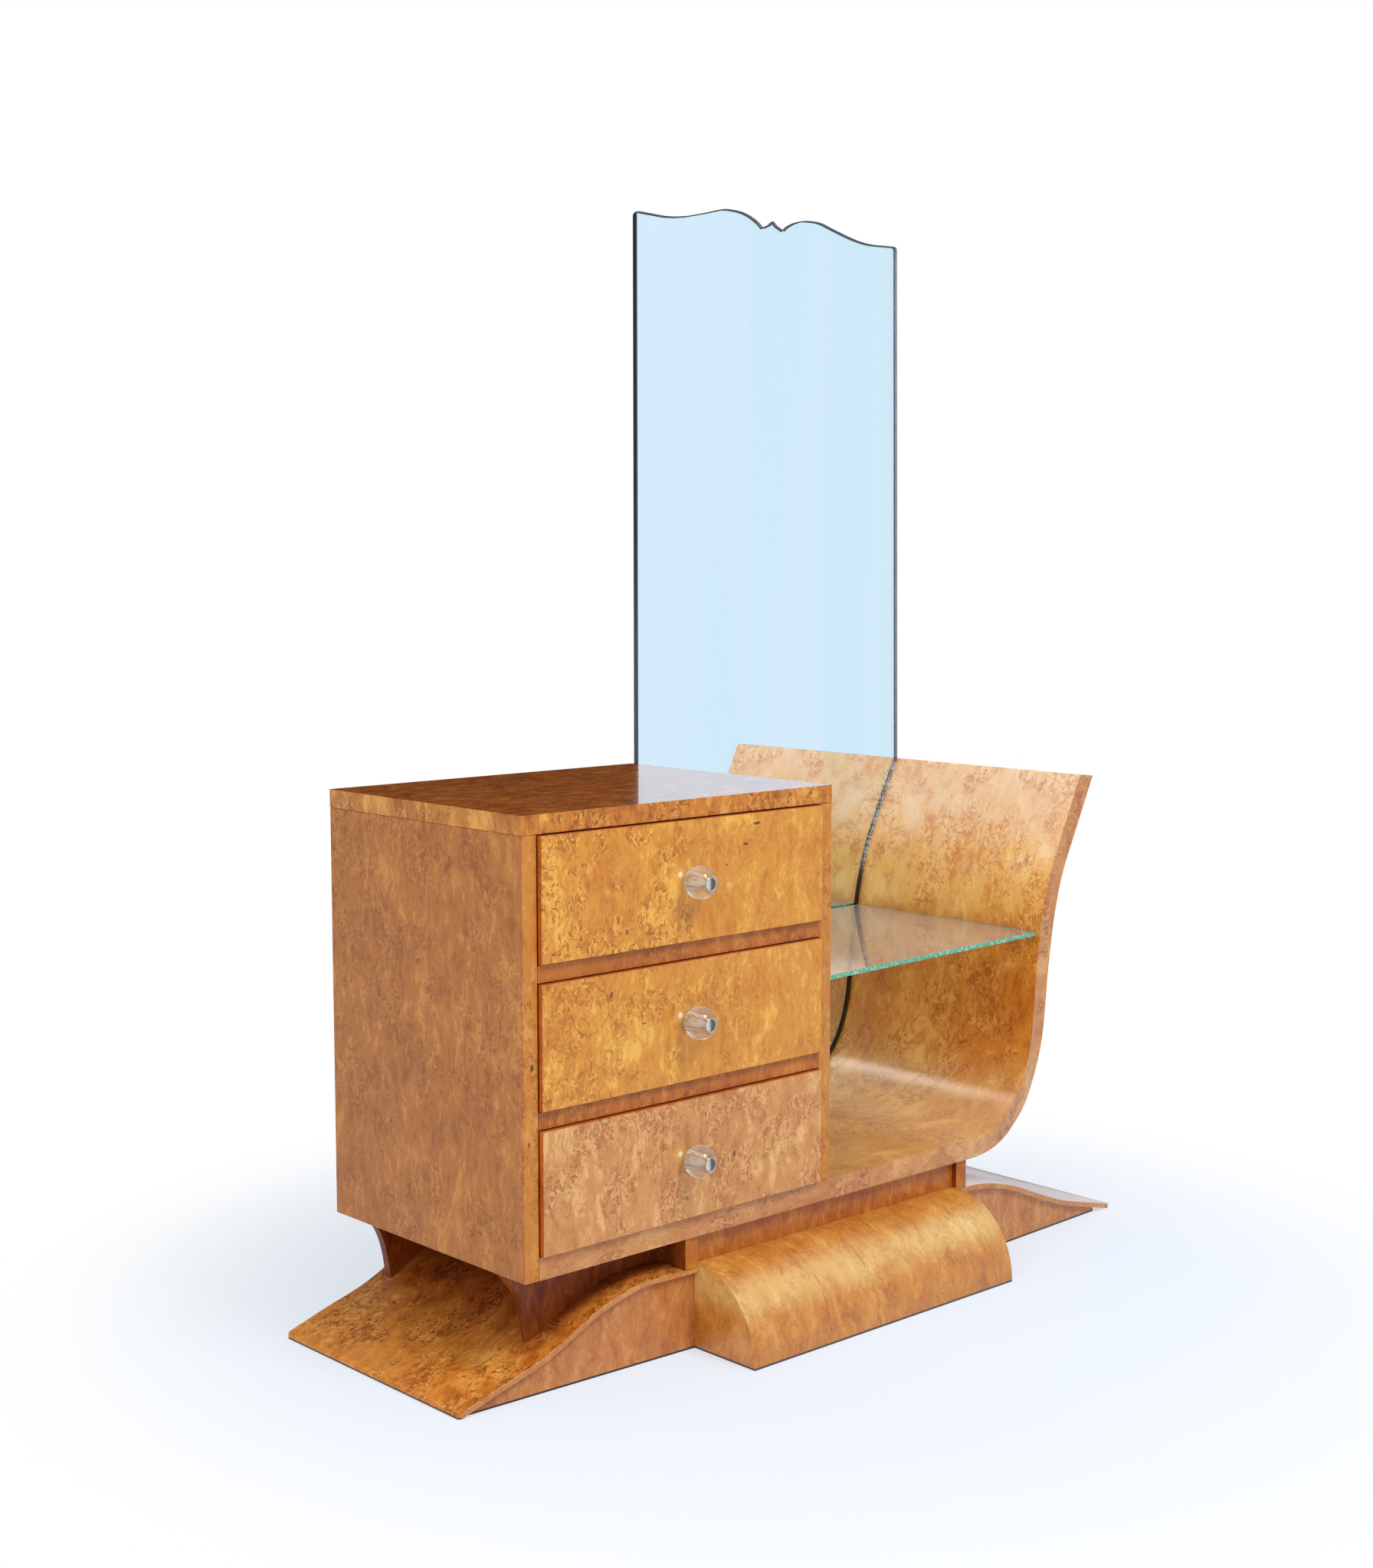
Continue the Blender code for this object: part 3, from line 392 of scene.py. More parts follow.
def veneer(
    name,
    tones,
    grain=UPRIGHT_GRAIN,
    seed=0.0,
    flame=0.45,
    curls=0.6,
    pips=0.8,
    gloss=0.4,
    polish=0.15,
    foot=False,
    front=None,
    shifts=(),
    cracks=(),
    calm=None,
    knots=(),
    rings=(),
    glint=None,
    unrolled=False,
    flat_ends=False,
    veil=0,
):
    """Polished burr veneer.

    Front gives other tones to what looks forward. Each shift is an axis, two places along it
    and the tones past the second. Cracks are places along X. Foot adds a painted shade line
    at the floor. Calm is where the curls fade. Each knot is a place (x, z) with half its width and
    height, each ring a place with its radius. Glint is the place of a knob's painted spot of light.
    Unrolled reads the kept place, but not on the flat ends of a rolled piece. Veil is a pale
    sheen along the surface.
    """
    tree = Material(name)
    place = tree.object_place()
    normal = tree.parts(tree.add("ShaderNodeTexCoord").outputs["Normal"])
    if unrolled:
        flat = tree.spread(tree.math("ABSOLUTE", normal[0]), 0.90, 0.95) if flat_ends else 0.0
        inputs = {0: flat, 4: tree.grain_place(), 5: place}
        place = tree.add("ShaderNodeMix", inputs, data_type="VECTOR").outputs[1]
    wander = tree.math("SUBTRACT", tree.grey(place, WANDER_SCALE, 3), 0.5)
    for axis, low, high, others in shifts:
        spot = tree.math("MULTIPLY_ADD", wander, abs(high - low), tree.parts(place)[axis])
        share = tree.spread(spot, low, high)
        tones = [tree.mix(share, tone, other) for tone, other in zip(tones, others)]
    if front:
        forward = tree.spread(normal[1], -0.80, -0.90)
        tones = [tree.mix(forward, tone, other) for tone, other in zip(tones, front)]
    colour, tone, swirl = figured(tree, place, tones, grain, seed, flame, curls, pips, calm)
    if cracks:
        colour = cracked(tree, place, colour, wander, cracks)
    if knots or rings:
        colour = marked(tree, place, colour, wander, tones[3], knots, rings)
    if glint:
        colour = glinting(tree, place, colour, glint)
    if foot:
        # painted shade line where the piece meets the floor
        height = tree.parts(tree.object_place())[2]
        colour = tree.mix(tree.spread(height, *FLOOR_SHADE_LINE), colour, FLOOR_SHADE_TONE)
    tree.shade(Base_Color=colour, Roughness=tree.math("MULTIPLY_ADD", tone, 0.20, 0.30))
    tree.shade(Specular_IOR_Level=0.25, Coat_Weight=gloss, Coat_Roughness=polish, Coat_IOR=1.45)
    tree.shade(Sheen_Weight=veil, Sheen_Roughness=0.35, Sheen_Tint=(0.92, 0.90, 1.0))
    tree.bump(tree.math("ADD", tone, swirl), 0.3)
    return tree.material


# Tones of a veneer: dark, middle, light and the curls
DARK_TOP = (srgb(172, 84, 24), srgb(212, 112, 38), srgb(236, 148, 62), srgb(122, 54, 12))
GOLD = (srgb(192, 115, 33), srgb(208, 139, 47), srgb(230, 173, 73), srgb(162, 82, 16))
ROSE_GOLD = (srgb(184, 116, 60), srgb(201, 140, 79), srgb(225, 173, 108), srgb(160, 90, 40))
RAIL = (srgb(161, 82, 16), srgb(182, 102, 27), srgb(203, 129, 46), srgb(130, 61, 9))
SIDE = (srgb(156, 88, 32), srgb(180, 110, 44), srgb(204, 138, 64), srgb(140, 74, 25))
STILE = (srgb(183, 108, 34), srgb(197, 126, 48), srgb(211, 146, 70), srgb(158, 84, 24))
BAND = (srgb(159, 81, 19), srgb(194, 120, 41), srgb(224, 160, 72), srgb(135, 61, 12))
RIM = (srgb(180, 105, 45), srgb(196, 131, 68), srgb(216, 159, 93), srgb(146, 77, 32))
# Bay wall tones: painted pale reflection, painted light and painted shade
WALL_PAINTED_PALE_REFLECTION = (srgb(225, 162, 107), srgb(238, 195, 149), srgb(244, 211, 173), srgb(199, 121, 62))
WALL_PAINTED_LIGHT = (srgb(219, 140, 44), srgb(241, 180, 88), srgb(249, 201, 120), srgb(193, 99, 20))
WALL_PAINTED_SHADE = (srgb(176, 92, 14), srgb(206, 124, 36), srgb(230, 158, 66), srgb(150, 70, 8))
BAY_DECK = (srgb(182, 116, 44), srgb(204, 143, 70), srgb(222, 168, 94), srgb(160, 90, 30))
OUTER = (srgb(166, 98, 44), srgb(188, 122, 62), srgb(210, 150, 88), srgb(144, 78, 32))
BULL = (srgb(174, 98, 27), srgb(194, 123, 42), srgb(211, 146, 62), srgb(151, 77, 19))
BULL_PAINTED_SHEEN = (srgb(203, 146, 72), srgb(215, 167, 93), srgb(226, 189, 120), srgb(178, 113, 46))
BULL_TOP = (srgb(179, 107, 31), srgb(202, 132, 49), srgb(223, 164, 77), srgb(154, 85, 21))
DECK = (srgb(179, 96, 23), srgb(216, 136, 49), srgb(238, 171, 82), srgb(136, 63, 10))
DECK_EDGE = (srgb(178, 110, 54), srgb(194, 130, 72), srgb(212, 154, 96), srgb(146, 80, 36))
# Tones of the wings' decks in painted shade: deep, half and plain
DECK_PAINTED_DEEP_SHADE = (srgb(96, 36, 7), srgb(132, 62, 18), srgb(160, 87, 35), srgb(74, 26, 5))
DECK_PAINTED_HALF_SHADE = (srgb(166, 86, 18), srgb(198, 120, 42), srgb(224, 156, 72), srgb(130, 58, 10))
DECK_PAINTED_SHADE = (srgb(150, 76, 18), srgb(188, 114, 42), srgb(214, 146, 70), srgb(120, 56, 12))
PANEL = (srgb(174, 102, 48), srgb(192, 122, 62), srgb(208, 144, 84), srgb(140, 76, 34))
# Dark tones of painted shade, for the fins and the sides of the neck panels under the cabinet
FIN_AND_NECK_PAINTED_SHADE = (srgb(98, 38, 6), srgb(128, 58, 14), srgb(156, 80, 26), srgb(78, 28, 4))
# Drawer front edges: the proud lip's tone, and painted shade on the edges further back in the gap
GLOW = (srgb(168, 78, 20), srgb(182, 88, 26), srgb(196, 104, 36), srgb(150, 66, 16))
DRAWER_EDGE_PAINTED_SHADE = (srgb(74, 36, 14), srgb(88, 44, 18), srgb(102, 54, 24), srgb(60, 28, 10))
PIP = srgb(58, 28, 14)

# Marks that stand out: knots as place, half width and half height, rings as place and radius
UPPER_KNOTS = (
    ((-0.1629, 0.6451), 0.0070, 0.0020),
    ((-0.1829, 0.6214), 0.0050, 0.0015),
    ((-0.2140, 0.5985), 0.0020, 0.0012),
)
MIDDLE_KNOTS = (((-0.3487, 0.4227), 0.0035, 0.0010),)
MIDDLE_RINGS = (
    ((-0.4297, 0.4540), 0.0270),
    ((-0.4542, 0.4261), 0.0188),
    ((-0.4722, 0.4322), 0.0120),
)
STILE_KNOTS = (
    ((-0.5115, 0.3936), 0.0024, 0.0044),
    ((-0.5161, 0.3055), 0.0015, 0.0030),
)
BULLNOSE_CRACKS = (-0.117, -0.030, 0.198)  # along X


def top_veneer():
    """The top board's dark polished face."""
    tree = Material("top_veneer")
    colour, tone, swirl = figured(
        tree,
        tree.object_place(),
        DARK_TOP,
        SIDEWAYS_GRAIN,
        seed=3.1,
        flame=0.6,
        curls=0.6,
        pips=0.2,
    )
    tree.shade(Base_Color=colour, Roughness=tree.math("MULTIPLY_ADD", tone, 0.10, 0.22))
    tree.shade(Specular_IOR_Level=0.4, Coat_Weight=1.0, Coat_Roughness=0.04, Coat_IOR=1.6)
    tree.bump(tree.math("ADD", tone, swirl), 0.2)
    return tree.material


# Plain wood: dark and light tones, the scales of its grain, and which way the grain runs
INSIDE = (srgb(150, 104, 62), srgb(190, 146, 98))
BOARD = (srgb(140, 98, 60), srgb(172, 130, 86))
LINE_SCALE = 160
PORE_SCALE = 900
GRAIN_ALONG_X = (0.06, 1, 1)
GRAIN_ALONG_Y = (1, 0.06, 1)
GRAIN_ALONG_Z = (1, 1, 0.06)


def plain_wood(name, tones, grain, seed):
    """Unpolished straight-grained wood, for the insides and the back."""
    dark, light = tones
    tree = Material(name)
    place = tree.vector("ADD", tree.object_place(), (seed, seed, seed))
    along = tree.vector("MULTIPLY", place, grain)
    lines = tree.grey(along, LINE_SCALE, 5, 0.65, 0.3)
    pores = tree.grey(along, PORE_SCALE, 2)
    colour = tree.mix(tree.spread(lines, 0.36, 0.64), dark, light)
    colour = tree.mix(tree.product(tree.spread(pores, 0.60, 0.70), 0.35), colour, dark)
    tree.shade(Base_Color=colour, Roughness=tree.math("MULTIPLY_ADD", pores, 0.2, 0.5))
    tree.bump(lines, 0.4)
    return tree.material


# Metal, paint and glass

STEEL = (0.52, 0.52, 0.53)
SCREW_STEEL = (0.50, 0.50, 0.51)
BRUSH_SCALE = 700
# Painted reflections: warm and bright along the knob's core, pale and dim across its button
STEM_PAINTED_WARM_REFLECTION = (0.66, 0.46, 0.25)
STEM_PAINTED_BRIGHT_REFLECTION = (0.97, 0.93, 0.84)
BUTTON_PAINTED_LIT = srgb(242, 222, 206)
BUTTON_PAINTED_DIM = srgb(116, 102, 92)
BUTTON_RIM = srgb(214, 196, 180)
BUTTON_RIM_SQUARES = (0.000050, 0.000062)  # of the distance from the knob's axis
BUTTON_FRONT = (-0.0330, -0.0338)  # along Y, where the core ends and its button starts
KNOB_SHADOW = (0.20, 0.15, 0.11)
DUST = (0.72, 0.70, 0.70)
SLATE = (srgb(18, 28, 34), srgb(54, 68, 76))
LAVENDER = (srgb(96, 96, 108), srgb(168, 166, 182))
# Painted glints on the mirror's ground edge beside the wall
PAINTED_GLINT_FOOT = (0.47, 0.52)  # height at which the sparks on the mirror's edge start
PAINTED_GLINT_TOP = (0.66, 0.645)


def metal(name, colour, roughness):
    """Brushed metal."""
    tree = Material(name)
    lines = tree.grey(tree.stretched_place((1, 0.1, 1)), BRUSH_SCALE, 3)
    shaded = tuple(channel * 0.85 for channel in colour)
    tree.shade(Base_Color=tree.mix(lines, shaded, colour), Metallic=1.0)
    tree.shade(Roughness=tree.math("MULTIPLY_ADD", lines, 0.05, roughness))
    return tree.material


def knob_metal():
    """The knob's core: polished metal with painted reflections, warm at its nose and bright towards
    its seat, and at its nose a button with a painted reflection, pale on one side and dim on the
    other.
    """
    tree = Material("knob_metal")
    place = tree.object_place()
    across, along, up = tree.parts(place)
    streak = tree.math("MULTIPLY_ADD", tree.grey(place, 300, 2), 0.012, along)
    stem = tree.mix(tree.spread(streak, -0.024, -0.008), STEM_PAINTED_WARM_REFLECTION, STEM_PAINTED_BRIGHT_REFLECTION)
    shine = tree.math("MULTIPLY_ADD", tree.grey(place, 260, 2), 0.004, across)
    button = tree.mix(tree.spread(shine, -0.0036, 0.0040), BUTTON_PAINTED_LIT, BUTTON_PAINTED_DIM)
    squares = tree.math("MULTIPLY_ADD", across, across, tree.math("MULTIPLY", up, up))
    button = tree.mix(tree.spread(squares, *BUTTON_RIM_SQUARES), button, BUTTON_RIM)
    nose = tree.spread(along, *BUTTON_FRONT)
    tree.shade(Base_Color=tree.mix(nose, stem, button), Metallic=1.0, Roughness=0.16)
    return tree.material


def bore_metal():
    """What shows through the ball round its core: bright metal with golden streaks that paint its
    reflections.
    """
    tree = Material("bore_metal")
    streaks = tree.grey(tree.stretched_place((1, 0.12, 1)), 420, 2)
    colour = tree.mix(tree.spread(streaks, 0.44, 0.60), (0.96, 0.94, 0.92), (0.66, 0.46, 0.26))
    tree.shade(Base_Color=colour, Metallic=0.5, Roughness=0.35)
    return tree.material


def black_paint():
    """The mirror's backing board."""
    tree = Material("black_paint")
    cloud = tree.grey(tree.object_place(), 40, 4)
    tree.shade(Base_Color=tree.mix(cloud, (0.008, 0.008, 0.009), (0.022, 0.021, 0.020)))
    tree.shade(Roughness=tree.math("MULTIPLY_ADD", cloud, 0.3, 0.45))
    tree.bump(tree.grey(tree.object_place(), 900, 2), 0.3)
    return tree.material


def clear_glass(name, colour, shadow, haze=0.0):
    """Glass that lets light through to what stands under it, with haze for a little dust."""
    tree = Material(name)
    tree.shade(Base_Color=colour, Roughness=0.0, Transmission_Weight=1.0, IOR=1.5)
    surface = tree.shader.outputs[0]
    if haze:
        streaks = tree.grey(tree.stretched_place((1, 0.15, 1)), 26, 3)
        streaks = tree.math("MULTIPLY_ADD", tree.spread(streaks, 0.40, 0.66), 0.5, 0.8)
        dust = tree.add("ShaderNodeBsdfDiffuse", {"Color": DUST}).outputs[0]
        surface = tree.blend(tree.product(streaks, haze), surface, dust)
    pass_on = tree.add("ShaderNodeBsdfTransparent", {"Color": shadow}).outputs[0]
    ray = tree.add("ShaderNodeLightPath").outputs["Is Shadow Ray"]
    tree.show(tree.blend(ray, surface, pass_on))
    return tree.material


def green_edge():
    """The cut edge of the shelf, which gathers the green of the glass."""
    tree = Material("glass_edge")
    chips = tree.spread(tree.grey(tree.object_place(), 260, 2), 0.52, 0.66)
    colour = tree.mix(chips, srgb(84, 158, 126), srgb(150, 210, 182))
    tree.shade(Base_Color=colour, Roughness=0.18, Coat_Weight=0.6, Coat_Roughness=0.08)
    return tree.material


def silver():
    """The mirror's silver, slightly bluer in some upright bands."""
    tree = Material("silver")
    bands = tree.grey(tree.stretched_place((1, 1, 0.06)), 7, 2)
    colour = tree.mix(tree.spread(bands, 0.35, 0.65), (0.88, 0.945, 0.95), (0.96, 0.965, 0.985))
    tree.shade(Base_Color=colour, Metallic=1.0, Roughness=0.0, Coat_Weight=0.3, Coat_Roughness=0.0)
    return tree.material


def edge_paint(name, tones):
    """A polished edge of the mirror over its paint."""
    tree = Material(name)
    streak = tree.grey(tree.stretched_place((1, 1, 0.2)), 220, 3)
    tree.shade(Base_Color=tree.mix(streak, *tones), Roughness=0.22)
    tree.shade(Coat_Weight=0.5, Coat_Roughness=0.1)
    return tree.material


def wall_edge():
    """The mirror's black edge beside the bay's wall, with painted glints of white over the shelf.
    """
    tree = Material("mirror_wall_edge")
    place = tree.object_place()
    height = tree.parts(place)[2]
    painted_glint = tree.spread(tree.grey(place, 420, 2, 0.7), 0.47, 0.56)
    over = tree.product(tree.spread(height, *PAINTED_GLINT_FOOT), tree.spread(height, *PAINTED_GLINT_TOP))
    colour = tree.mix(tree.product(painted_glint, over), srgb(26, 24, 22), srgb(236, 238, 236))
    tree.shade(Base_Color=colour, Roughness=0.45)
    return tree.material


# Pieces


def on_top(face):
    """The second material where a face looks up."""
    return int(face.normal.z > 0.9)


def at_front(face):
    """The second material where a face looks forward."""
    return int(face.normal.y < -0.85)


def reshaped(node, name, materials, choose=None, keep_grain=None, curved=True):
    """A node's own shape, welded and shaded smooth where it is curved, in its place."""
    source = NODES[node]
    item = bpy.data.objects.new(name, source.data.copy())
    bpy.context.scene.collection.objects.link(item)
    form = bmesh.new()
    form.from_mesh(item.data)
    bmesh.ops.remove_doubles(form, verts=form.verts, dist=WELD)
    bmesh.ops.dissolve_limit(form, angle_limit=FLAT_LIMIT, verts=form.verts, edges=form.edges)
    bmesh.ops.recalc_face_normals(form, faces=form.faces)
    for face in form.faces:
        face.smooth = curved
        face.material_index = choose(face) if choose else 0
    for edge in form.edges:
        edge.smooth = edge.calc_face_angle(0) < SMOOTH_LIMIT
    item.data.materials.clear()
    for material in materials:
        item.data.materials.append(material)
    form.to_mesh(item.data)
    form.free()
    kept_normals = item.data.attributes.get("custom_normal")
    if kept_normals:
        item.data.attributes.remove(kept_normals)
    if keep_grain:
        store_grain(item, keep_grain)
    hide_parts(node)
    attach(item, source["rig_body"])
    return item


def store_grain(item, place):
    """Keep the unrolled place of each point for its veneer."""
    layer = item.data.attributes.new("grain", "FLOAT_VECTOR", "POINT")
    for vertex, entry in zip(item.data.vertices, layer.data):
        entry.vector = place(vertex.co)


def bay_line():
    """The inner face of the bay board from the drawers to the top of the wall."""
    reach = BAY_REACH - BAY_FLAT
    height = WALL_TOP - BAY_FLOOR
    curve = [(RIGHT + BAY_FLAT + x * reach, BAY_FLOOR + z * height) for x, z in WALL_SHARES]
    return [(LEFT, BAY_FLOOR), *curve]


def unrolled_bay(place):
    """Length along the bay board, depth, and distance from its inner face."""
    best = (1, 0)
    length = 0
    line = bay_line()
    for (x, z), (next_x, next_z) in zip(line, line[1:]):
        run = hypot(next_x - x, next_z - z)
        share = ((place.x - x) * (next_x - x) + (place.z - z) * (next_z - z)) / run**2
        share = min(max(share, 0), 1)
        distance = hypot(place.x - x - share * (next_x - x), place.z - z - share * (next_z - z))
        best = min(best, (distance, length + share * run))
        length += run
    return best[1], place.y, best[0]


def unrolled_bullnose(place):
    """Length along the bullnose, and length round its face."""
    low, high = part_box("bullnose")
    reach = FRONT - low.y
    angle = atan2(place.z / high.z, (FRONT - place.y) / reach) if place.y < FRONT else pi / 2
    depth = max(place.y - FRONT, 0)
    return place.x, depth, angle * (high.z + reach) / 2


def turned(name, profile, seat, materials, node, bore=0):
    """A profile of (radius, distance forward) turned about an axis that points forward.

    Faces inside the bore's radius take the second material.
    """
    form = bmesh.new()
    rings = []
    for radius, along in profile:
        angles = [2 * pi * step / TURN_STEPS for step in range(TURN_STEPS)] if radius else [0]
        rings.append([form.verts.new((radius * cos(a), -along, radius * sin(a))) for a in angles])
    for near, far in zip(rings, rings[1:]):
        for step in range(TURN_STEPS):
            after = (step + 1) % TURN_STEPS
            places = ((near, step), (near, after), (far, after), (far, step))
            corners = [ring[place % len(ring)] for ring, place in places]
            form.faces.new(list(dict.fromkeys(corners)))
    bmesh.ops.remove_doubles(form, verts=form.verts, dist=WELD)
    bmesh.ops.recalc_face_normals(form, faces=form.faces)
    for face in form.faces:
        face.smooth = True
        face.material_index = int(all(hypot(v.co.x, v.co.z) < bore for v in face.verts))
    for edge in form.edges:
        edge.smooth = edge.calc_face_angle(0) < SMOOTH_LIMIT
    mesh = bpy.data.meshes.new(name)
    for material in materials:
        mesh.materials.append(material)
    form.to_mesh(mesh)
    form.free()
    item = bpy.data.objects.new(name, mesh)
    item.location = seat
    bpy.context.scene.collection.objects.link(item)
    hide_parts(node)
    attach(item, NODES[node]["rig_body"])


def knob_seat(drawer):
    """Where the knob's axis meets the drawer's front."""
    low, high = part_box(drawer + "_knob_glass")
    return Vector(((low.x + high.x) / 2, high.y, (low.z + high.z) / 2))


def knob_ball(drawer, glass, lining):
    """The clear ball, cut flat at its seat and nose, and bored for its core."""
    node = drawer + "_knob_glass"
    low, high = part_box(node)
    radius = (high.z - low.z) / 2
    nose = high.y - low.y
    foot = KNOB_FOOT / 2
    start = -pi / 2 + asin(foot / radius)
    centre = -radius * sin(start)
    end = asin(min((nose - centre) / radius, 1))
    angles = [start + (end - start) * step / BALL_STEPS for step in range(BALL_STEPS + 1)]
    ball = [(radius * cos(angle), centre + radius * sin(angle)) for angle in angles]
    ball[0] = (ball[0][0] - KNOB_EASE, ball[0][1])
    bore = KNOB_CORE / 2 + KNOB_GAP
    profile = [(bore, 0), *ball, (bore, nose), (bore, 0)]
    seat = knob_seat(drawer)
    turned(drawer + "_knob_ball", profile, seat, [glass, lining], node, bore + KNOB_GAP)


def knob_stem(drawer, core_metal):
    """The metal core, with the button at its nose just clear of the ball."""
    node = drawer + "_knob_core"
    low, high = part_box(node)
    ball_low, ball_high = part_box(drawer + "_knob_glass")
    seat = knob_seat(drawer)
    button = (high.z - low.z) / 2
    core = KNOB_CORE / 2
    tip = seat.y - low.y
    ledge = ball_high.y - ball_low.y + KNOB_GAP
    rim = ledge + (tip - ledge) / 2
    turns = [pi / 2 * step / CROWN_STEPS for step in range(CROWN_STEPS)]
    crown = [(button * cos(turn), rim + (tip - rim) * sin(turn)) for turn in turns]
    under = [(button - KNOB_EASE, ledge), (button, ledge + KNOB_EASE)]
    profile = [(0, 0), (core, 0), (core, ledge), *under, *crown, (0, tip)]
    turned(drawer + "_knob_stem", profile, seat, [core_metal], node)


def mirror_pane():
    """The pane: clear glass, silver behind it, and edges that show through the glass."""

    def choose(face):
        middle = face.calc_center_median()
        if abs(face.normal.y) > 0.5:
            return FACE_SLOT if face.normal.y < 0 else SILVER_SLOT
        at_right = face.normal.x > 0.2
        if at_right and middle.z > WALL_TOP:
            return PALE_EDGE_SLOT
        low = middle.z < BAY_FLOOR + LOW_EDGE
        return WALL_EDGE_SLOT if at_right or low else EDGE_SLOT

    glass = clear_glass("mirror_face", WHITE, (0.9, 0.9, 0.9))
    dark = edge_paint("mirror_edge", SLATE)
    pale = edge_paint("mirror_pale_edge", LAVENDER)
    materials = [glass, silver(), dark, wall_edge(), pale]
    grind(reshaped("mirror_glass", "mirror_pane", materials, choose, curved=False))


def grind(pane):
    """A dark ground edge round the front of the pane, wider beside the bay's wall."""
    form = bmesh.new()
    form.from_mesh(pane.data)
    front = [face for face in form.faces if face.normal.y < -0.5]
    inset = bmesh.ops.inset_region(form, faces=front, thickness=ARRIS, use_even_offset=True)
    inner = {vertex for face in front for vertex in face.verts}
    for edge in form.edges:
        inside = [vertex for vertex in edge.verts if vertex in inner]
        if len(inside) != 1:
            continue
        near = inside[0]
        rim = edge.other_vert(near)
        if rim.co.y > near.co.y + DEPTH_STEP:
            continue
        if BAY_FLOOR + WALL_ARRIS_FOOT < rim.co.z < WALL_TOP and rim.co.x > RIGHT + BAY_FLAT:
            near.co = rim.co + (near.co - rim.co) * (WALL_ARRIS / ARRIS)
        rim.co.y += ARRIS_DEPTH
    for face in inset["faces"]:
        middle = face.calc_center_median()
        at_wall = middle.z < WALL_TOP and middle.x > RIGHT + BAY_FLAT
        face.material_index = WALL_EDGE_SLOT if at_wall else EDGE_SLOT
    form.to_mesh(pane.data)
    form.free()


def shelf_pane():
    """The glass shelf with its green cut edges."""
    glass = clear_glass("shelf_face", (0.94, 0.985, 0.96), (0.80, 0.88, 0.83), haze=0.09)

    def choose(face):
        return 0 if abs(face.normal.z) > 0.9 else 1

    reshaped("glass_shelf", "shelf_pane", [glass, green_edge()], choose, curved=False)


def dress(node, material):
    """A new material on a node whose own shape is right."""
    mesh = NODES[node].data
    mesh.materials.clear()
    mesh.materials.append(material)


def dress_drawers():
    """Each drawer's front with its box, knob and screw."""
    # Tones, seed, curls, flame, calm stretch, knots and rings of each front
    fronts = (
        ("upper_drawer", GOLD, 4.2, 1.0, 0.40, (-0.34, -0.20), UPPER_KNOTS, ()),
        ("middle_drawer", GOLD, 7.9, 0.75, 0.45, (-0.30, -0.12), MIDDLE_KNOTS, MIDDLE_RINGS),
        ("lower_drawer", ROSE_GOLD, 11.3, 0.85, 0.45, None, (), ()),
    )
    ball = clear_glass("knob_ball", WHITE, KNOB_SHADOW)
    lining = bore_metal()
    core = knob_metal()
    sides = plain_wood("drawer_wood", INSIDE, GRAIN_ALONG_Y, 0.4)
    bottom = plain_wood("drawer_bottom", BOARD, GRAIN_ALONG_X, 1.9)
    screw = metal("screw_steel", SCREW_STEEL, 0.30)
    for drawer, tones, seed, curls, flame, calm, knots, rings in fronts:
        seat = knob_seat(drawer)
        face = veneer(
            drawer + "_veneer",
            DRAWER_EDGE_PAINTED_SHADE,
            seed=seed,
            flame=flame,
            curls=curls,
            front=tones,
            # painted shade on the edges in the gap, lighter on the proud lip
            shifts=[(Y, *LIP_STRETCH, GLOW)],
            calm=calm,
            knots=knots,
            rings=rings,
            # painted spot of light beside the knob
            glint=(seat.x + KNOB_GLINT[0], seat.z + KNOB_GLINT[1]),
        )
        dress(drawer + "_front", face)
        for part in ("left_side", "right_side", "back"):
            dress(drawer + "_" + part, sides)
        dress(drawer + "_bottom", bottom)
        dress(drawer + "_knob_screw", screw)
        knob_ball(drawer, ball, lining)
        knob_stem(drawer, core)


def dress_cabinet():
    """The top board, both side panels, the back, and the rails and runners."""
    band = veneer("band_veneer", BAND, seed=1.7, curls=0.9, gloss=0.25)
    reshaped("top_board", "top_board_veneered", [band, top_veneer()], on_top)
    for side, seed, knots in (("left", 2.3, STILE_KNOTS), ("right", 6.6, ())):
        panel = veneer(
            side + "_side_veneer",
            SIDE,
            seed=seed,
            curls=0.65,
            pips=0.3,
            gloss=0.2,
            front=STILE,
            knots=knots,
        )
        dress(side + "_side_panel", panel)
    dress("cabinet_back", plain_wood("back_board", BOARD, GRAIN_ALONG_Z, 3.3))
    for level, seed in (("upper", 1.2), ("lower", 5.1)):
        dress(level + "_rail", veneer(level + "_rail_veneer", RAIL, seed=seed, curls=0.7))
        for side in ("left", "right"):
            runner = level + "_" + side + "_runner"
            dress(runner, plain_wood(runner + "_wood", INSIDE, GRAIN_ALONG_Y, seed))


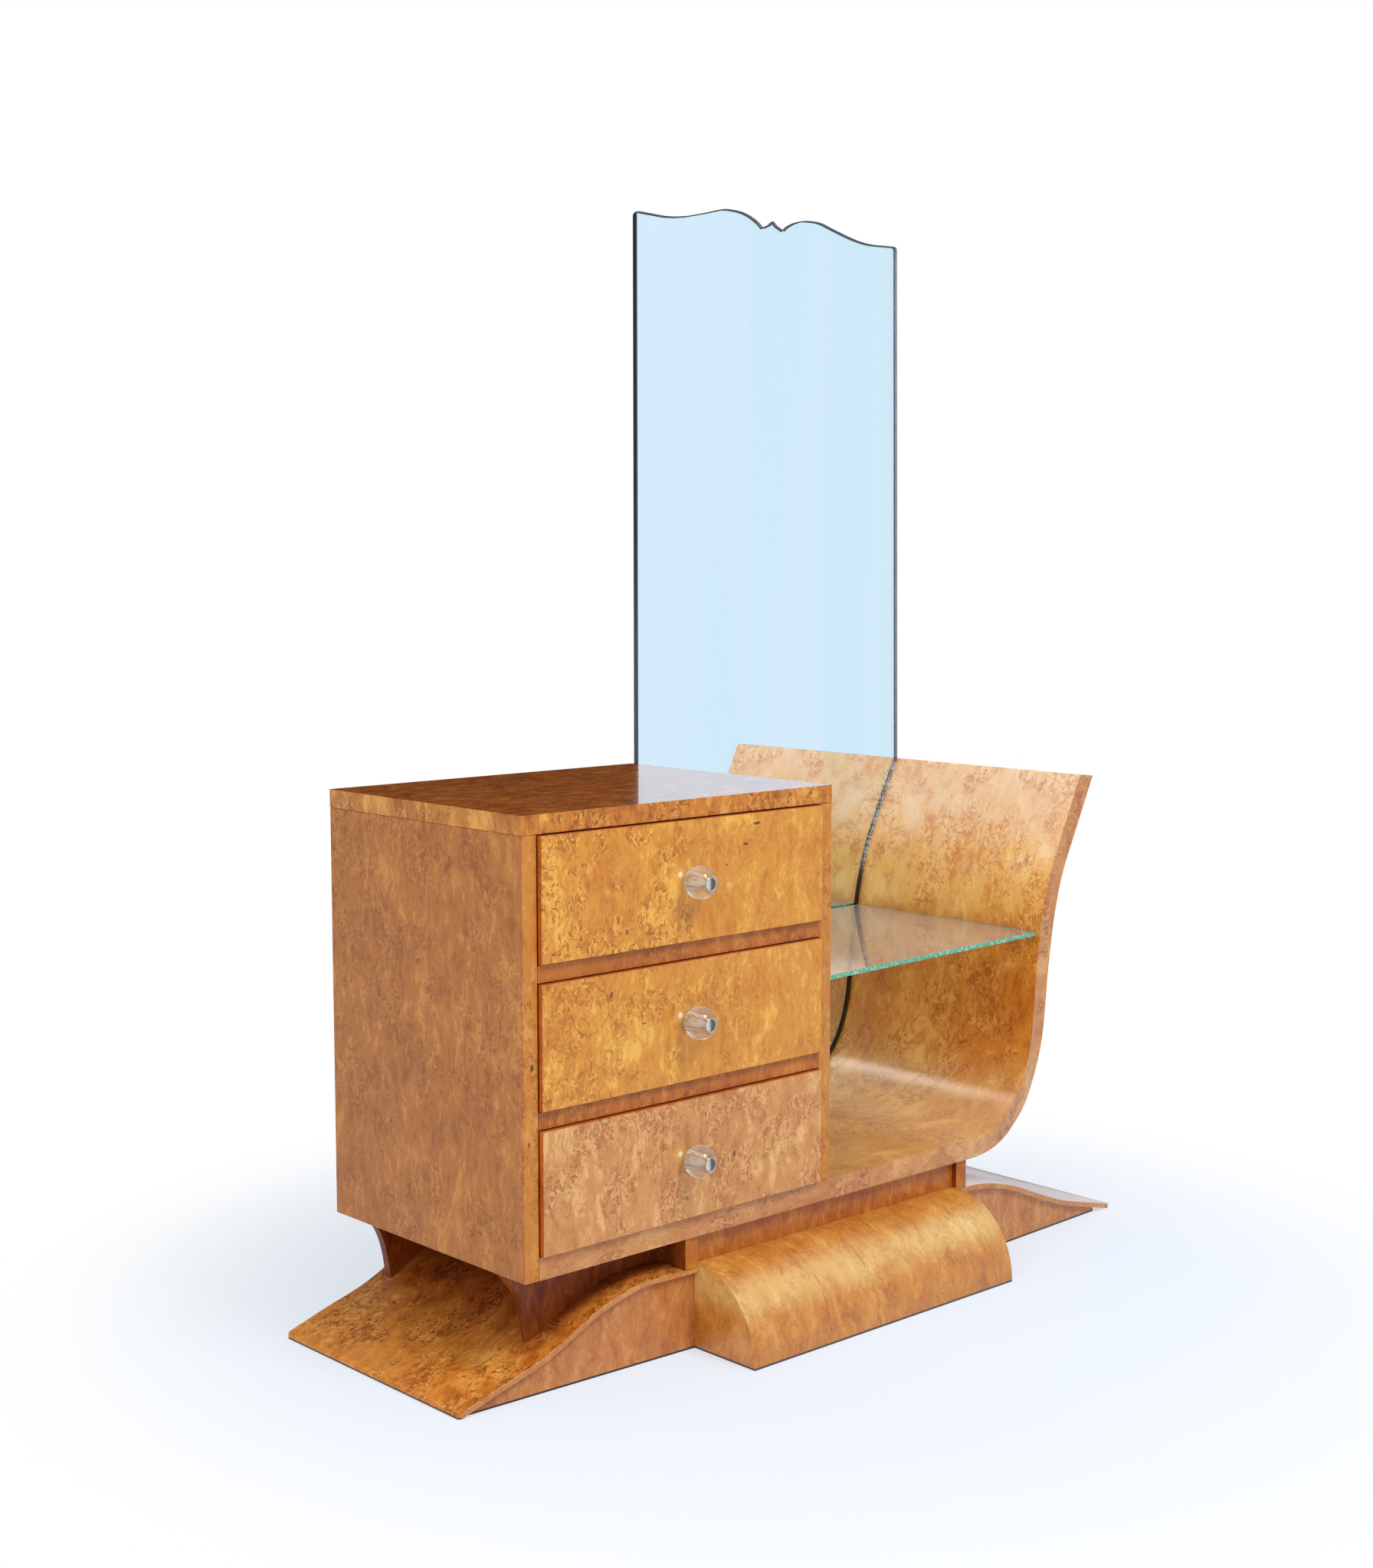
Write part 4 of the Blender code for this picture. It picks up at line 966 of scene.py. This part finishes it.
def dress_bay():
    """The bay board, with tones by length along it that paint light and shade up its wall, the
    mirror and the shelf.
    """
    board = veneer(
        "bay_veneer",
        BAY_DECK,
        SIDEWAYS_GRAIN,
        8.4,
        flame=0.35,
        curls=0.8,
        pips=0.3,
        gloss=0.8,
        polish=0.27,
        front=RIM,
        shifts=[
            # painted shade, painted light and a painted pale reflection up the wall
            (X, *BEND_STRETCH, WALL_PAINTED_SHADE),
            (X, *RISE_STRETCH, WALL_PAINTED_LIGHT),
            (X, *CREST_STRETCH, WALL_PAINTED_PALE_REFLECTION),
            (Z, *OUTSIDE_STRETCH, OUTER),
        ],
        unrolled=True,
    )
    reshaped("bay_board", "bay_board_veneered", [board], keep_grain=unrolled_bay)
    mirror_pane()
    dress("mirror_backing", black_paint())
    shelf_pane()
    steel = metal("fitting_steel", STEEL, 0.28)
    for side in ("left", "right"):
        dress("mirror_" + side + "_plate", steel)
        dress("mirror_" + side + "_plate_screw", steel)
        for row in ("front", "rear"):
            dress("shelf_" + row + "_" + side + "_peg", steel)


def dress_bullnose():
    """The half-round block in front of the plinth, its figure running round its face, with a
    painted sheen band along it.
    """
    veneered = veneer(
        "bullnose_veneer",
        BULL,
        seed=9.7,
        curls=0.45,
        gloss=0.9,
        polish=0.32,
        foot=True,
        shifts=[(Z, *PAINTED_SHEEN_STRETCH, BULL_PAINTED_SHEEN), (Z, *CROWN_STRETCH, BULL_TOP)],
        cracks=BULLNOSE_CRACKS,
        unrolled=True,
        flat_ends=True,
    )
    reshaped("bullnose", "bullnose_veneered", [veneered], keep_grain=unrolled_bullnose)


def dress_wing(side, way, seed, gloss, polish, veil):
    """One wing's sheet and panels, with painted shade on the sheet, and its side's neck panel, in
    painted shade except at its front. Way is that side's sign along X.
    """
    dark, shaded = ([way * x for x in stretch] for stretch in (PAINTED_SHADE_STRETCH, PAINTED_DEEP_SHADE_STRETCH))
    deck = veneer(
        side + "_deck_veneer",
        DECK,
        SIDEWAYS_GRAIN,
        seed,
        flame=0.4,
        curls=1.0,
        gloss=gloss,
        polish=polish,
        foot=True,
        # painted shade, deeper nearer the neck, and a painted half shade along the front
        shifts=[
            (X, *dark, DECK_PAINTED_SHADE),
            (X, *shaded, DECK_PAINTED_DEEP_SHADE),
            (Y, *PAINTED_HALF_SHADE_STRETCH, DECK_PAINTED_HALF_SHADE),
        ],
        veil=veil,
    )
    edge = veneer(side + "_deck_edge", DECK_EDGE, seed=seed, curls=0.3, gloss=0.2, foot=True)
    reshaped(side + "_wing_sheet", side + "_wing_deck", [deck, edge], at_front)
    panel = veneer(
        side + "_panel_veneer",
        PANEL,
        seed=seed,
        flame=0.6,
        curls=0.2,
        pips=0.3,
        foot=True,
    )
    for row in ("front", "rear"):
        dress(side + "_wing_" + row + "_panel", panel)
    # the neck panel in painted shade except at its front
    neck = veneer(side + "_neck_veneer", FIN_AND_NECK_PAINTED_SHADE, seed=seed + 1, curls=0.3, gloss=0.1, front=RAIL)
    dress("neck_" + side + "_panel", neck)


def dress_plinth():
    """The plinth's boards, and the fins in painted shade."""
    board = veneer("plinth_veneer", RAIL, seed=2.7, flame=0.6, curls=0.3, foot=True)
    for row in ("front", "rear"):
        dress("plinth_" + row + "_board", board)
        fin = veneer(row + "_fin_veneer", FIN_AND_NECK_PAINTED_SHADE, seed=1.5, flame=0.6, curls=0.2, pips=0.2, gloss=0.1)
        reshaped(row + "_fin", row + "_fin_veneered", [fin])


# Studio


def shown_rays(tree, ray):
    """1 for the rays that make a picture: straight, reflected or through glass."""
    shown = tree.math("ADD", ray["Is Camera Ray"], ray["Is Glossy Ray"], clamp=True)
    return tree.math("ADD", shown, ray["Is Transmission Ray"], clamp=True)


def studio_world():
    """Soft even light under a white background.

    Glass and metal see a pale wall in front, and reflections see dimness low down behind.
    """
    world = bpy.data.worlds.new("studio")
    bpy.context.scene.world = world
    world.use_nodes = True
    tree = Tree(world.node_tree)
    tree.nodes.clear()
    ray = tree.add("ShaderNodeLightPath").outputs
    way = tree.parts(tree.add("ShaderNodeTexCoord").outputs["Generated"])
    behind = tree.spread(way[1], -0.05, 0.25)
    low = tree.spread(way[2], 0.80, 0.55)
    dim = tree.math("MULTIPLY", low, ray["Is Glossy Ray"])
    rear = tree.mix(dim, WHITE, DIM_WALL)
    seen = tree.mix(behind, PALE_WALL, rear)
    seen = tree.mix(ray["Is Camera Ray"], seen, WHITE)
    light = tree.add("ShaderNodeBackground", {"Color": WHITE, "Strength": AMBIENT}).outputs[0]
    view = tree.add("ShaderNodeBackground", {"Color": seen, "Strength": 1.0}).outputs[0]
    tree.add("ShaderNodeOutputWorld", {0: tree.blend(shown_rays(tree, ray), light, view)})


def studio_floor():
    """A pale floor that keeps the object's shadow, and turns white further out."""
    bpy.ops.mesh.primitive_plane_add(size=FLOOR_SIZE, location=(0, 0, FLOOR - FLOOR_DROP))
    floor = bpy.context.object
    floor.name = "studio_floor"
    tree = Material("pale_floor")
    tree.nodes.remove(tree.shader)
    ray = tree.add("ShaderNodeLightPath").outputs
    far = tree.spread(tree.length(tree.object_place()), *FLOOR_FADE)
    glow_share = tree.math("MULTIPLY_ADD", far, 1 - FLOOR_GLOW, FLOOR_GLOW)
    share = tree.math("MULTIPLY", shown_rays(tree, ray), glow_share)
    colour = tree.mix(ray["Is Camera Ray"], PALE_WALL, tree.mix(far, NEAR_FLOOR, WHITE))
    matt = tree.add("ShaderNodeBsdfDiffuse", {"Color": FLOOR_COLOUR}).outputs[0]
    glow = tree.add("ShaderNodeEmission", {"Color": colour, "Strength": 1.0}).outputs[0]
    tree.show(tree.blend(share, matt, glow))
    floor.data.materials.append(tree.material)


def lamp(name, place, aim, width, power, gloss=False, mirrored=False):
    """A soft square lamp turned towards a point.

    Gloss shows it in polished faces. Mirrored lets the mirror throw its light back.
    """
    data = bpy.data.lights.new(name, "AREA")
    data.size = width
    data.energy = power
    item = bpy.data.objects.new(name, data)
    item.location = place
    item.rotation_euler = (Vector(aim) - Vector(place)).to_track_quat("-Z", "Y").to_euler()
    item.visible_camera = False
    item.visible_transmission = mirrored
    item.visible_glossy = gloss
    bpy.context.scene.collection.objects.link(item)


def studio():
    """The background, the floor and four lamps."""
    studio_world()
    studio_floor()
    middle = (0, 0, 0.5)
    lamp("key_lamp", (0.1, -2.3, 3.3), middle, 1.0, KEY_POWER, gloss=True, mirrored=True)
    lamp("left_lamp", (-3.3, -1.3, 1.9), middle, 2.2, LEFT_POWER)
    lamp("top_lamp", (0.6, -0.4, 3.4), middle, 2.6, TOP_POWER)
    lamp("rear_lamp", (2.3, 1.6, 0.8), (0.5, 0, 0.05), 1.2, REAR_POWER, gloss=True)


def camera():
    """The view of the photograph."""
    data = bpy.data.cameras.new("camera")
    data.lens = CAMERA_LENS
    data.sensor_width = SENSOR
    data.clip_end = FAR_CLIP
    item = bpy.data.objects.new("camera", data)
    item.location = CAMERA_PLACE
    item.rotation_euler = CAMERA_TURN
    bpy.context.scene.collection.objects.link(item)
    bpy.context.scene.camera = item
    bpy.context.scene.view_settings.view_transform = "Standard"


dress_drawers()
dress_cabinet()
dress_bay()
dress_bullnose()
dress_wing("left", -1, seed=3.9, gloss=0.25, polish=0.35, veil=0)
dress_wing("right", 1, seed=12.8, gloss=1.0, polish=0.22, veil=1.0)
dress_plinth()
studio()
camera()
